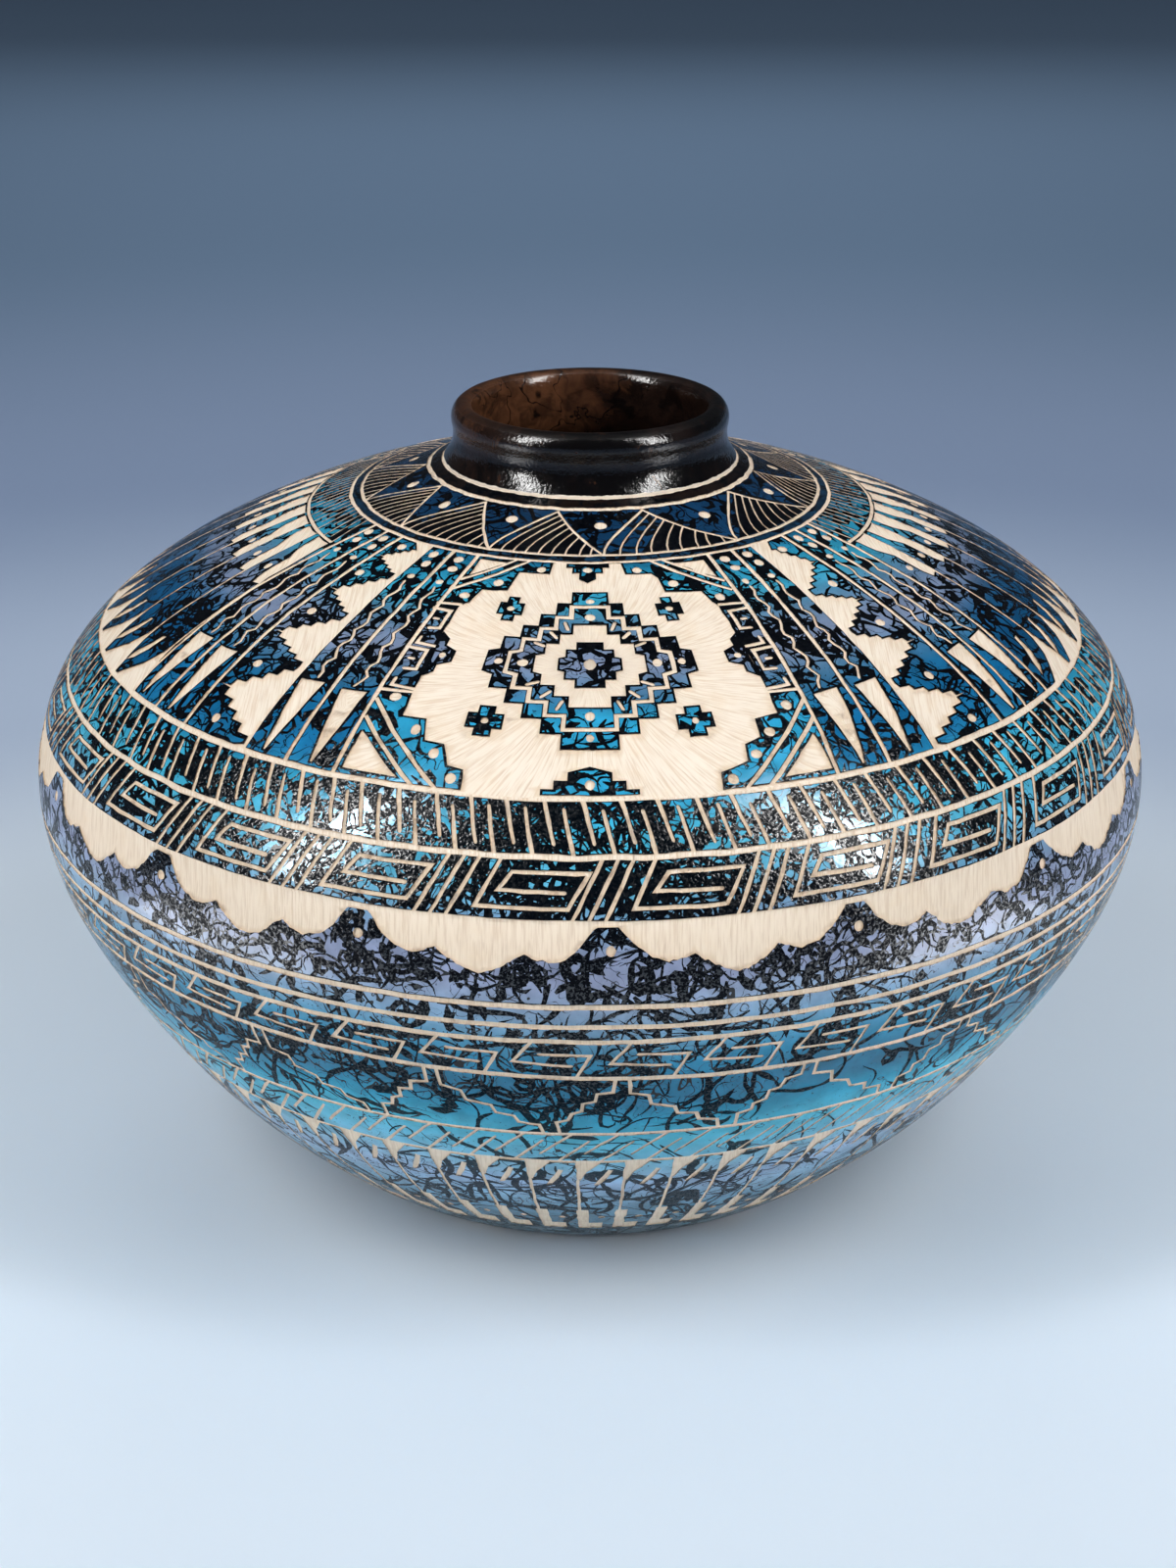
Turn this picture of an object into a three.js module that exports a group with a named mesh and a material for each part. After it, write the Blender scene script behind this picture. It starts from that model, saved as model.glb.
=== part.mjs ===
// Wide, low ceramic jar with a short upright neck.
// Millimetres, +Z up, origin at the centre of the foot, on the surface that it stands on.
//
// The jar is built in three sections of clay, luted together at stepped seams:
//   lower_bowl      flat foot and the lower half, up to the belly seam
//   shoulder_shell  the closing upper half, from the belly seam to the hole for the neck
//   neck_collar     the short collar with its rolled lip, seated on a ledge in that hole
import * as THREE from 'three';

// ---- driving dimensions, mm -------------------------------------------------------------
const SEGMENTS = 72;          // facets around
const WALL_BOWL = 5.5;        // wall of the lower half
const WALL_SHOULDER = 5.0;    // wall of the upper half
const FLOOR = 7.0;            // thickness of the floor over the foot
const FOOT_R = 60.6;          // flat foot
const FOOT_EDGE_Z = 1.3;      // height of the eased edge of the foot
const SEAM_GAP = 0.3;         // slip layer between two sections
const BELLY_SEAM_Z = 93.0;    // height of the seam around the belly
const BELLY_TONGUE = 4.0;     // how far the bowl's inner tongue rises into the shoulder
const NECK_SEAT_Z = 161.4;    // ledge that the collar sits on
const NECK_SEAT_R = 33.3;     // radius of the hole's riser
const NECK_LEDGE_R = 28.4;    // inner edge of the ledge
const LIP_Z = 177.5;          // top of the lip
const LIP_CREST_R = 28.1;     // radius of the crest of the lip

// Outer face of the body from the neck ring down to the foot: radius, height.
const BODY = [
  [33.6, 164.2], [39.3, 161.6], [45.6, 159.6], [58.35, 155.5], [71.0, 150.9], [83.5, 145.7],
  [95.5, 139.55], [106.65, 132.0], [112.0, 127.5], [116.5, 122.5], [120.6, 117.2], [123.75, 111.2],
  [126.0, 104.9], [127.0, 98.4], [126.95, 91.8], [126.05, 85.0], [124.5, 78.6], [122.15, 72.05],
  [116.4, 59.85], [109.45, 48.25], [101.7, 37.15], [93.25, 26.65], [84.0, 16.9], [73.95, 7.95],
  [65.2, 1.3],
];

// ---- profile helpers --------------------------------------------------------------------
const curve = new THREE.CatmullRomCurve3(
  BODY.map(([r, z]) => new THREE.Vector3(r, 0, z)), false, 'centripetal');

// the curve sampled finely: [radius, height, normal r, normal z]
const FINE = [];
for (let i = 0; i <= 2000; i++) {
  const p = curve.getPoint(i / 2000);
  const t = curve.getTangent(i / 2000);
  FINE.push([p.x, p.z, -t.z, t.x]);
}
const atHeight = (z) => FINE.reduce((a, b) => (Math.abs(b[1] - z) < Math.abs(a[1] - z) ? b : a));
const offset = ([r, z, nr, nz], depth) => [r - nr * depth, z - nz * depth];

// points of the body at the given outer heights, set back by depth into the wall
const line = (heights, depth) => heights.map((z) => offset(atHeight(z), depth));

// A closed ring of clay: the outline is a closed loop of [radius, height].
function turned(name, outline, material) {
  const pts = outline.map(([r, z]) => new THREE.Vector2(Math.max(r, 0), z));
  if (pts[0].x > 1e-6) pts.push(pts[0].clone());
  const g = new THREE.LatheGeometry(pts, SEGMENTS);
  g.rotateX(Math.PI / 2);      // the lathe axis is Y: stand it up along Z
  const mesh = new THREE.Mesh(g, material);
  mesh.name = name;
  return mesh;
}
function signedArea(o) {
  let a = 0;
  for (let i = 0; i < o.length; i++) {
    const [r0, z0] = o[i];
    const [r1, z1] = o[(i + 1) % o.length];
    a += r0 * z1 - r1 * z0;
  }
  return a / 2;
}
const outward = (o) => (signedArea(o) > 0 ? o : o.slice().reverse());

const skin = new THREE.MeshStandardMaterial({ color: 0x2f7896, roughness: 0.32, metalness: 0.0 });
const shoulderSkin = new THREE.MeshStandardMaterial({ color: 0x28688c, roughness: 0.32, metalness: 0.0 });
const burnished = new THREE.MeshStandardMaterial({ color: 0x241a16, roughness: 0.22, metalness: 0.0 });

// ---- lower bowl -------------------------------------------------------------------------
const bowlTop = BELLY_SEAM_Z - SEAM_GAP / 2;
const tongueTop = BELLY_SEAM_Z + BELLY_TONGUE - SEAM_GAP / 2;
const bowlOut = [3.6, 7.95, 16.9, 26.65, 37.15, 48.25, 59.85, 69.0, 77.0, 85.0];
const bowlIn = [85.0, 77.0, 69.0, 59.85, 48.25, 37.15, 26.65, 16.9, 12.0];
const bowl = [
  [0, 0], [FOOT_R, 0], [FOOT_R + 2.8, FOOT_EDGE_Z * 0.35], ...line(bowlOut, 0),
  offset(atHeight(bowlTop), 0),
  offset(atHeight(bowlTop), WALL_BOWL / 2 + SEAM_GAP / 2),
  offset(atHeight(tongueTop), WALL_BOWL / 2 + SEAM_GAP / 2),
  offset(atHeight(tongueTop), WALL_BOWL),
  offset(atHeight(BELLY_SEAM_Z), WALL_BOWL),
  ...line(bowlIn, WALL_BOWL),
  [67.5, 11.6], [58.5, FLOOR + 1.2], [48.0, FLOOR], [0, FLOOR],
];

// ---- shoulder shell ---------------------------------------------------------------------
const shellFoot = BELLY_SEAM_Z + SEAM_GAP / 2;
const shellStep = BELLY_SEAM_Z + BELLY_TONGUE + SEAM_GAP / 2;
const shellOut = [98.6, 104.9, 111.2, 117.2, 122.5, 127.5, 132.0, 139.55, 145.7, 150.9, 155.5, 159.6, 161.6];
const shellIn = [155.5, 150.9, 145.7, 139.55, 132.0, 127.5, 122.5, 117.2, 111.2, 104.9];
const shell = [
  offset(atHeight(shellFoot), 0), ...line(shellOut, 0),
  [NECK_SEAT_R + SEAM_GAP, 164.05],
  [NECK_SEAT_R + SEAM_GAP, NECK_SEAT_Z],
  [NECK_LEDGE_R, NECK_SEAT_Z],
  [NECK_LEDGE_R + 0.4, 157.9],
  [36.5, 156.3],
  ...line(shellIn, WALL_SHOULDER),
  offset(atHeight(shellStep), WALL_BOWL),
  offset(atHeight(shellStep), WALL_BOWL / 2 - SEAM_GAP / 2),
  offset(atHeight(shellFoot), WALL_BOWL / 2 - SEAM_GAP / 2),
];

// ---- neck collar ------------------------------------------------------------------------
const seatZ = NECK_SEAT_Z + SEAM_GAP;
const collar = [
  [NECK_SEAT_R, seatZ], [NECK_SEAT_R, 164.25], [32.1, 165.4], [31.2, 166.9], [30.65, 168.8],
  [30.65, 170.8], [30.9, 172.6], [31.0, 173.9], [30.7, 175.3], [29.8, 176.6], [28.95, 177.25],
  [LIP_CREST_R, LIP_Z], [27.1, 177.1], [26.3, 176.1], [25.85, 174.6], [25.85, 170.5], [26.3, 166.0],
  [27.4, seatZ],
];

const pot = new THREE.Group();
pot.add(turned('lower_bowl', outward(bowl), skin));
pot.add(turned('shoulder_shell', outward(shell), shoulderSkin));
pot.add(turned('neck_collar', outward(collar), burnished));

export default pot;
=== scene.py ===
import math
import random

import bpy
import numpy as np
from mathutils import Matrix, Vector
from mathutils.geometry import delaunay_2d_cdt


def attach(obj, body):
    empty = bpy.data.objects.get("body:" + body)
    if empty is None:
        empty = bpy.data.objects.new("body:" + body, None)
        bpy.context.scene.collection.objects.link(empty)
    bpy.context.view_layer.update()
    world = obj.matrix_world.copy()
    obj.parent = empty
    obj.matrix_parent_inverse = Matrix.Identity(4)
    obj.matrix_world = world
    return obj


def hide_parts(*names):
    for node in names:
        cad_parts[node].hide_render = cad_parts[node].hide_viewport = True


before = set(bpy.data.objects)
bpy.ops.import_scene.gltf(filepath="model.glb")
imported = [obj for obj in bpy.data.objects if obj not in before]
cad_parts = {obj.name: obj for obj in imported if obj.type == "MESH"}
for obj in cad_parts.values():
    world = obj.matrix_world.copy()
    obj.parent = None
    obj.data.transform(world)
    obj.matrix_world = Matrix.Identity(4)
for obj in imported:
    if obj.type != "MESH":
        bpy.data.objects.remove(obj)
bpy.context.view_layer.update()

# ------------------------------------------------------------------ measures
# The jar's skin is described by the angle t (degrees, 0 at the front, + to the right)
# and by s, the length of the profile from the ring under the neck, in units of 126 mm.
UNIT = 126.0
DEG = math.pi / 180
SKIN_CUT = 0.22        # depth of the carved lines, mm
FIELD_CUT = 0.5        # depth of the broad carved fields, mm
LINE = 1.08            # all carved lines are this much wider than drawn below
EDGE_SOOT_AND_SHADE = .34       # soot and painted shade along the carved lines, both sides together, mm
WALL_SHOULDER = 5.0
WALL_BOWL = 5.5

BODY = [
    (32.95, 164.42), (39.3, 161.6), (45.6, 159.6), (58.35, 155.5), (71.0, 150.9), (83.5, 145.7),
    (95.5, 139.55), (106.65, 132.0), (112.0, 127.5), (116.5, 122.5), (120.6, 117.2), (123.75, 111.2),
    (126.0, 104.9), (127.0, 98.4), (126.95, 91.8), (126.05, 85.0), (124.5, 78.6), (122.15, 72.05),
    (116.4, 59.85), (109.45, 48.25), (101.7, 37.15), (93.25, 26.65), (84.0, 16.9), (73.95, 7.95),
    (65.2, 1.3),
]
NECK = [
    (33.1, 164.42), (32.6, 165.15), (31.85, 166.3), (31.1, 167.8), (30.7, 169.5), (30.7, 171.7),
    (31.0, 173.9), (30.75, 175.3), (29.9, 176.6), (28.1, 177.42), (26.6, 176.7), (25.9, 175.0),
    (25.8, 172.0), (25.9, 168.0), (26.6, 164.5), (27.6, 161.75),
]


def natural_spline(points, n):
    """A smooth curve through the points, sampled n times."""
    p = np.array(points, float)
    t = np.concatenate([[0], np.cumsum(np.hypot(*np.diff(p, axis=0).T))])
    h = np.diff(t)
    m = len(p)
    a = np.zeros((m, m))
    b = np.zeros((m, 2))
    a[0, 0] = a[-1, -1] = 1
    for i in range(1, m - 1):
        a[i, i - 1], a[i, i], a[i, i + 1] = h[i - 1], 2 * (h[i - 1] + h[i]), h[i]
        b[i] = 6 * ((p[i + 1] - p[i]) / h[i] - (p[i] - p[i - 1]) / h[i - 1])
    c = np.linalg.solve(a, b)
    u = np.linspace(0, t[-1], n)
    k = np.clip(np.searchsorted(t, u) - 1, 0, m - 2)
    x, y, hk = (t[k + 1] - u)[:, None], (u - t[k])[:, None], h[k][:, None]
    return ((c[k] * x**3 + c[k + 1] * y**3) / (6 * hk)
            + (p[k] / hk - c[k] * hk / 6) * x + (p[k + 1] / hk - c[k + 1] * hk / 6) * y)


def body_curve():
    """The body's profile: one smooth polynomial pair, so that reflections run clean."""
    p = np.array(BODY, float)
    t = np.concatenate([[0], np.cumsum(np.hypot(*np.diff(p, axis=0).T))])
    w = np.ones(len(t))
    w[0] = w[-1] = 6
    cheb = np.polynomial.chebyshev.Chebyshev
    fr, fz = cheb.fit(t, p[:, 0], 11, w=w), cheb.fit(t, p[:, 1], 11, w=w)
    u = np.linspace(0, t[-1], 6001)
    return np.stack([fr(u), fz(u)], 1)


CURVE = body_curve()
_d = np.diff(CURVE, axis=0)
ARC = np.concatenate([[0], np.cumsum(np.hypot(_d[:, 0], _d[:, 1]))])
_t = np.gradient(CURVE, axis=0)
_t /= np.hypot(_t[:, 0], _t[:, 1])[:, None]
S_END = ARC[-1] / UNIT


def radius(s):
    return np.interp(np.asarray(s, float) * UNIT, ARC, CURVE[:, 0])


def profile(s):
    """radius, height, normal's radial part, normal's upward part"""
    q = np.asarray(s, float) * UNIT
    r, z = np.interp(q, ARC, CURVE[:, 0]), np.interp(q, ARC, CURVE[:, 1])
    tr, tz = np.interp(q, ARC, _t[:, 0]), np.interp(q, ARC, _t[:, 1])
    ln = np.hypot(tr, tz)
    return r, z, -tz / ln, tr / ln


def skin_point(t, s, depth=0.0):
    """(x, y, z) mm and the outward normal, for arrays of t and s"""
    r, z, nr, nz = profile(s)
    a = np.asarray(t, float) * DEG
    rr, zz = r - nr * depth, z - nz * depth
    p = np.stack([rr * np.sin(a), -rr * np.cos(a), zz], -1)
    n = np.stack([nr * np.sin(a), -nr * np.cos(a), nz], -1)
    return p, n


def waves(seed, scale, n=22):
    """Smooth noise in space, about -2 to 2, with features of about the given size in mm."""
    g = np.random.RandomState(seed)
    k = g.normal(size=(n, 3))
    k /= np.linalg.norm(k, axis=1)[:, None]
    k *= 2 * math.pi / scale * g.uniform(0.55, 1.5, (n, 1))
    ph = g.uniform(0, 2 * math.pi, n)

    def f(p):
        return np.sin(p @ k.T + ph).sum(1) / math.sqrt(n / 2)
    return f


def wobble(seed, n=5, top=40):
    """A smooth periodic wobble of the angle, about -1 to 1."""
    g = random.Random(seed)
    terms = [(g.randint(3, top), g.uniform(0, 6.28), g.uniform(0.4, 1)) for _ in range(n)]
    norm = math.sqrt(sum(a * a for _, _, a in terms) / 2)

    def f(t):
        return sum(a * math.sin(k * t * DEG + p) for k, p, a in terms) / norm / 1.6
    return f


# ------------------------------------------------------------------ drawing on the skin
# the third role holds the smoke marks and the painted shade along carved edges
PAINT, CARVE, SOOT_AND_SHADE = 1, 2, 3


class Band:
    """Shapes on one band of the skin. Later shapes lie on earlier ones; smoke marks and the painted shade along carved
    edges lie under all carving.
    """

    def __init__(self, name, s0, s1, seed):
        self.name, self.s0, self.s1 = name, s0, s1
        self.shapes = []
        self.rng = random.Random(seed)

    def area(self, role, pts):
        self.shapes.append((role, [(float(a), float(b)) for a, b in pts]))

    def clip(self, pts, inset=0.0011):
        lo, hi = self.s0 + inset, self.s1 - inset
        return [(t, min(max(s, lo), hi)) for t, s in pts]

    def rough(self, pts, step=2.4, amp=.11):
        """The outline with more points, each a little off the line, as a blade leaves it."""
        g = self.rng
        out = []
        for (t0, s0), (t1, s1) in zip(pts, list(pts[1:]) + [pts[0]]):
            r = float(radius((s0 + s1) / 2))
            n = max(1, int(math.hypot((t1 - t0) * DEG * r, (s1 - s0) * UNIT) / step))
            out.append((t0, s0))
            for j in range(1, n):
                f = (j + g.uniform(-.25, .25)) / n
                out.append((t0 + (t1 - t0) * f + g.gauss(0, amp) / r / DEG, s0 + (s1 - s0) * f + g.gauss(0, amp) / UNIT))
        return out

    def carve(self, pts, edge=.95):
        self.area(CARVE, self.clip(self.rough(pts)))
        if edge:
            self.outline(pts, edge)

    def paint(self, pts, edge=.95):
        self.area(PAINT, self.clip(self.rough(pts)))
        if edge:
            self.outline(pts, edge)

    def outline(self, pts, w):
        """A dark line of soot and painted shade along the edge of the skin: half of this line lies on the skin, half is
        carved off.
        """
        ring = list(pts) + [pts[0]]
        self.stroke(ring, w, role=SOOT_AND_SHADE, ends=(0, 0), shake=.12, step=3.0, chunk=3)

    def dot(self, t, s, dia, role=CARVE, n=11):
        g = self.rng
        r = float(radius(s))
        e = 1 + g.uniform(-0.1, 0.1)
        a0 = g.uniform(0, 6.28)
        pts = []
        for i in range(n):
            a = a0 + 2 * math.pi * i / n
            d = dia / 2 * (1 + g.uniform(-0.06, 0.06))
            pts.append((t + d * e * math.cos(a) / r / DEG, s + d / e * math.sin(a) / UNIT))
        self.area(role, self.clip(pts))

    def stroke(self, pts, w, role=CARVE, ends=(0.5, 0.5), shake=0.1, step=4.0, clip=True, chunk=8, tight=2.2):
        """A drawn line of width w mm (or one width for each point) through pts."""
        g = self.rng
        pts = [tuple(p) for p in pts]
        ws = list(w) if isinstance(w, (list, tuple)) else [w] * len(pts)
        if role == CARVE:
            # soot and painted shade along both edges of a carved line
            ln = LINE * (.80 if self.s0 < .1 else .88 if self.s0 < .95 else .9)
            if self.s0 < .95:
                self.stroke(pts, [x * ln + EDGE_SOOT_AND_SHADE for x in ws], SOOT_AND_SHADE, (.3, .3), .1, 4.0, clip, chunk, tight)
            ws = [x * ln for x in ws]
            step = min(step, 3.2 if self.s1 > .6 and self.s0 < .2 else 2.6)
        # more points on long stretches, shaken a little as a hand does
        out, wo = [], []
        for i in range(len(pts) - 1):
            (t0, s0), (t1, s1) = pts[i], pts[i + 1]
            r = float(radius((s0 + s1) / 2))
            ln = math.hypot((t1 - t0) * DEG * r, (s1 - s0) * UNIT)
            n = max(1, int(round(ln / step)))
            for j in range(n):
                f = j / n
                jt = js = 0.0
                if j:
                    jt, js = g.gauss(0, shake), g.gauss(0, shake)
                out.append((t0 + (t1 - t0) * f + jt / r / DEG, s0 + (s1 - s0) * f + js / UNIT))
                wo.append((ws[i] + (ws[i + 1] - ws[i]) * f) * (1 + g.gauss(0, shake * 0.55)))
        out.append(pts[-1])
        wo.append(ws[-1])
        pts, ws = out, wo
        if len(pts) < 2:
            return
        left, right = [], []
        n = len(pts)
        rs = radius([p[1] for p in pts])
        dirs = []
        for i in range(n - 1):
            r = (rs[i] + rs[i + 1]) / 2
            dx, dy = (pts[i + 1][0] - pts[i][0]) * DEG * r, (pts[i + 1][1] - pts[i][1]) * UNIT
            ln = math.hypot(dx, dy) or 1e-6
            dirs.append((dx / ln, dy / ln))
        # rounded or tapered ends
        for k, e in ((0, ends[0]), (1, ends[1])):
            if not e:
                continue
            if k == 0:
                d, p, wd, r = dirs[0], pts[0], ws[0], rs[0]
                q = (p[0] - d[0] * wd * e / r / DEG, p[1] - d[1] * wd * e / UNIT)
                pts.insert(0, q)
                ws.insert(0, wd * 0.42)
                dirs.insert(0, d)
                rs = np.concatenate([[r], rs])
            else:
                d, p, wd, r = dirs[-1], pts[-1], ws[-1], rs[-1]
                q = (p[0] + d[0] * wd * e / r / DEG, p[1] + d[1] * wd * e / UNIT)
                pts.append(q)
                ws.append(wd * 0.42)
                dirs.append(d)
                rs = np.concatenate([rs, [r]])
        n = len(pts)
        for i in range(n):
            a = dirs[max(0, i - 1)]
            b = dirs[min(n - 2, i)]
            mx, my = -(a[1] + b[1]), a[0] + b[0]
            ln = math.hypot(mx, my)
            if ln < 0.2:
                mx, my, ln = -b[1], b[0], 1.0
            mx, my = mx / ln, my / ln
            c = max(1 / tight, -a[1] * mx + a[0] * my)
            for side, edge in ((left, 1), (right, -1)):
                h = edge * ws[i] / 2 / c
                if role == CARVE:
                    h *= 1 + max(-.3, min(.3, g.gauss(0, .11)))
                side.append((pts[i][0] + mx * h / rs[i] / DEG, pts[i][1] + my * h / UNIT))
        i = 0
        while i < n - 1:
            j = min(n - 1, i + chunk)
            poly = left[i:j + 1] + right[i:j + 1][::-1]
            self.area(role, self.clip(poly) if clip else poly)
            i = j

    def ring(self, s, w, seed, amp=0.1, rise=None):
        """A carved line all the way round. It may run over the band's edge, which halves it."""
        f, g, k = wobble(seed, 6, 60), wobble(seed + 500, 7, 150), wobble(seed + 900, 7, 150)
        for a in range(-180, 180, 4):
            up, down, up2, down2 = [], [], [], []
            for t in (a, a + 1, a + 2, a + 3, a + 4):
                c = s + amp * f(t) / UNIT + (rise(t) if rise else 0)
                h0 = w * LINE / 2 * (1 + 0.12 * g(t)) / UNIT
                h1 = w * LINE / 2 * (1 + 0.12 * k(t)) / UNIT
                e = EDGE_SOOT_AND_SHADE / 2 / UNIT
                up.append((t, c - h0))
                down.append((t, c + h1))
                if t % 2 == a % 2:
                    up2.append((t, c - h0 - e * (1 + .6 * k(t))))
                    down2.append((t, c + h1 + e * (1 + .6 * g(t))))
            # soot and painted shade along both edges of the ring, under the carved line
            if self.s0 < .95:
                self.area(SOOT_AND_SHADE, up2 + down2[::-1])
            self.area(CARVE, up + down[::-1])


# ------------------------------------------------------------------ horsehair
def hair_cover(t, s):
    """The share of the skin that the smoke marks cover at a place."""
    t = (np.asarray(t, float) + 180) % 360 - 180
    s = np.asarray(s, float)
    stops = [(0, .55), (.03, .5), (.15, .53), (.158, .74), (.176, .74), (.18, .46), (.27, .48), (.45, .48), (.55, .46),
             (.68, .5), (.69, .68), (.78, .7), (.86, .68), (.9, .64), (.97, .62), (1.05, .58), (1.1, .48),
             (1.2, .43), (1.3, .34), (1.36, .30), (1.45, .42), (1.6, .46), (1.75, .42), (1.93, .36)]
    d = np.interp(s, [a for a, _ in stops], [c for _, c in stops])
    # sides and back: the same mean, in patches
    d = d * (1 + 0.3 * np.sin(3 * t * DEG + 1.7) * (1 - np.exp(-(t / 70.0) ** 4)))
    spots = [(-4, .735, 15, .07, .24), (1, .83, 13, .05, .2), (-62, .8, 14, .06, .08), (40, .72, 14, .05, .18),
             (-45, .73, 16, .05, .2), (22, .8, 8, .05, -.1), (68, .74, 10, .06, -.2), (52, .82, 12, .05, .1),
             (-3, .92, 7, .04, .18), (-25, .93, 12, .05, .1), (-30, 1.2, 20, .07, .12),
             (24, 1.22, 22, .06, -.16), (28, 1.08, 12, .05, -.1), (30, .45, 6, .12, .12),
             (-30, .4, 6, .12, .12), (46, .3, 8, .1, -.12), (-4, 1.12, 18, .05, .12), (-6, 1.21, 16, .05, .12),
             (36, .5, 5, .1, .1), (75, .3, 14, .1, -.16), (-75, .3, 14, .1, -.12), (78, .5, 26, .16, .14),
             (-78, .5, 26, .16, .14), (-28, .76, 9, .06, -.1), (-66, .47, 13, .07, .26), (-46, .62, 8, .06, .2), (-46, .37, 7, .05, .2),
             (3, 1.02, 8, .04, -.16), (14, .105, 9, .05, -.14), (36, .07, 6, .04, -.15), (0, .07, 6, .04, -.15)]
    for ca, cb, wa, wb, k in spots:
        d = d + k * np.exp(-((t - ca) / wa) ** 2 - ((s - cb) / wb) ** 2)
    return np.clip(d, 0.04, .90)


def add_hair(band):
    g = band.rng
    s0, s1 = band.s0, band.s1
    rm = float(radius((s0 + s1) / 2))
    area = 2 * math.pi * rm * (s1 - s0) * UNIT
    # (share of the marks, length from, to, width from, to, curl)
    kinds = [(.52, 9, 28, .6, 1.15, .24), (.26, 5, 17, .38, .62, .3), (.22, 3.5, 10, 1.05, 1.8, .34)]
    if s0 > .95:
        kinds = [(.56, 15, 42, .8, 1.4, .12), (.30, 10, 26, .36, .62, .16), (.14, 5, 15, 1.3, 2.1, .3)]
    for share, l0, l1, w0, w1, curl in kinds:
        mean = (l0 + l1) / 2 * (w0 + w1) / 2 * .8
        peak = 2.31
        for _ in range(int(area * peak * share / mean)):
            t, s = g.uniform(-180, 180), g.uniform(s0, s1)
            need = -math.log(1 - float(hair_cover(t, s)))
            if g.random() > need / peak:
                continue
            length, width = g.uniform(l0, l1), g.uniform(w0, w1)
            step = (1.55 if width > .6 else 1.35) * (1.16 if s1 > .6 and s0 < .2 else 1)
            m = max(3, int(length / step))
            head = g.uniform(0, 2 * math.pi)
            turn = g.gauss(0, curl)
            hook = 0
            r = float(radius(s))
            pts, ws = [(t, s)], [width * 0.4]
            for i in range(m):
                if hook:
                    hook -= 1
                else:
                    turn = turn * 0.7 + g.gauss(0, curl)
                    if g.random() < (0.14 if s0 < .95 else .05):
                        turn = g.choice((-1, 1)) * g.uniform(0.5, 1.1)      # a tight hook
                        hook = g.randint(1, 3)
                turn = max(-1.1, min(1.1, turn))
                head += turn * step / 1.5
                t += math.cos(head) * step / r / DEG
                s += math.sin(head) * step / UNIT
                if s < s0 - 0.01 or s > s1 + 0.01:
                    break
                f = (i + 1) / m
                env = min(1, 5 * f + 0.4, (1 - f) * 4 + 0.15)
                pts.append((t, s))
                ws.append(width * env * (1 + 0.25 * math.sin(i * 0.9 + t)) * g.uniform(0.7, 1.3) * (1.35 if hook else 1))
            if len(pts) < 3:
                continue
            band.stroke(pts, ws, role=SOOT_AND_SHADE, ends=(0, 0), shake=0.0, step=50, chunk=4, clip=True, tight=1.4)


def blob(band, t, s, size):
    """An irregular soot patch."""
    g = band.rng
    r = float(radius(s))
    n = g.randint(7, 11)
    pts = []
    ex = g.uniform(0.6, 1.5)
    for i in range(n):
        a = 2 * math.pi * i / n
        d = size / 2 * g.uniform(0.45, 1.25)
        pts.append((t + d * ex * math.cos(a) / r / DEG, s + d / ex * math.sin(a) / UNIT))
    band.area(SOOT_AND_SHADE, band.clip(pts))


def add_soot(band, cell=40.0):
    g = band.rng
    rm = float(radius((band.s0 + band.s1) / 2))
    n = int(2 * math.pi * rm * (band.s1 - band.s0) * UNIT / cell)
    for _ in range(n):
        t, s = g.uniform(-180, 180), g.uniform(band.s0, band.s1)
        d = float(hair_cover(t, s))
        if g.random() < max(0, d - 0.3) * 1.8:
            blob(band, t, s, g.uniform(1.4, 4.6))


# ------------------------------------------------------------------ the bands' patterns
R1, R2, R3, R4, R5, R6, R7 = 0.0, .028, .155, .175, .685, .779, .878
RA, RB, RC, RD, RE, RF = 1.013, 1.049, 1.077, 1.1555, 1.311, 1.406


def rise_d(t):
    return 0.0098 * math.sin(2 * t * DEG)


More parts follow.
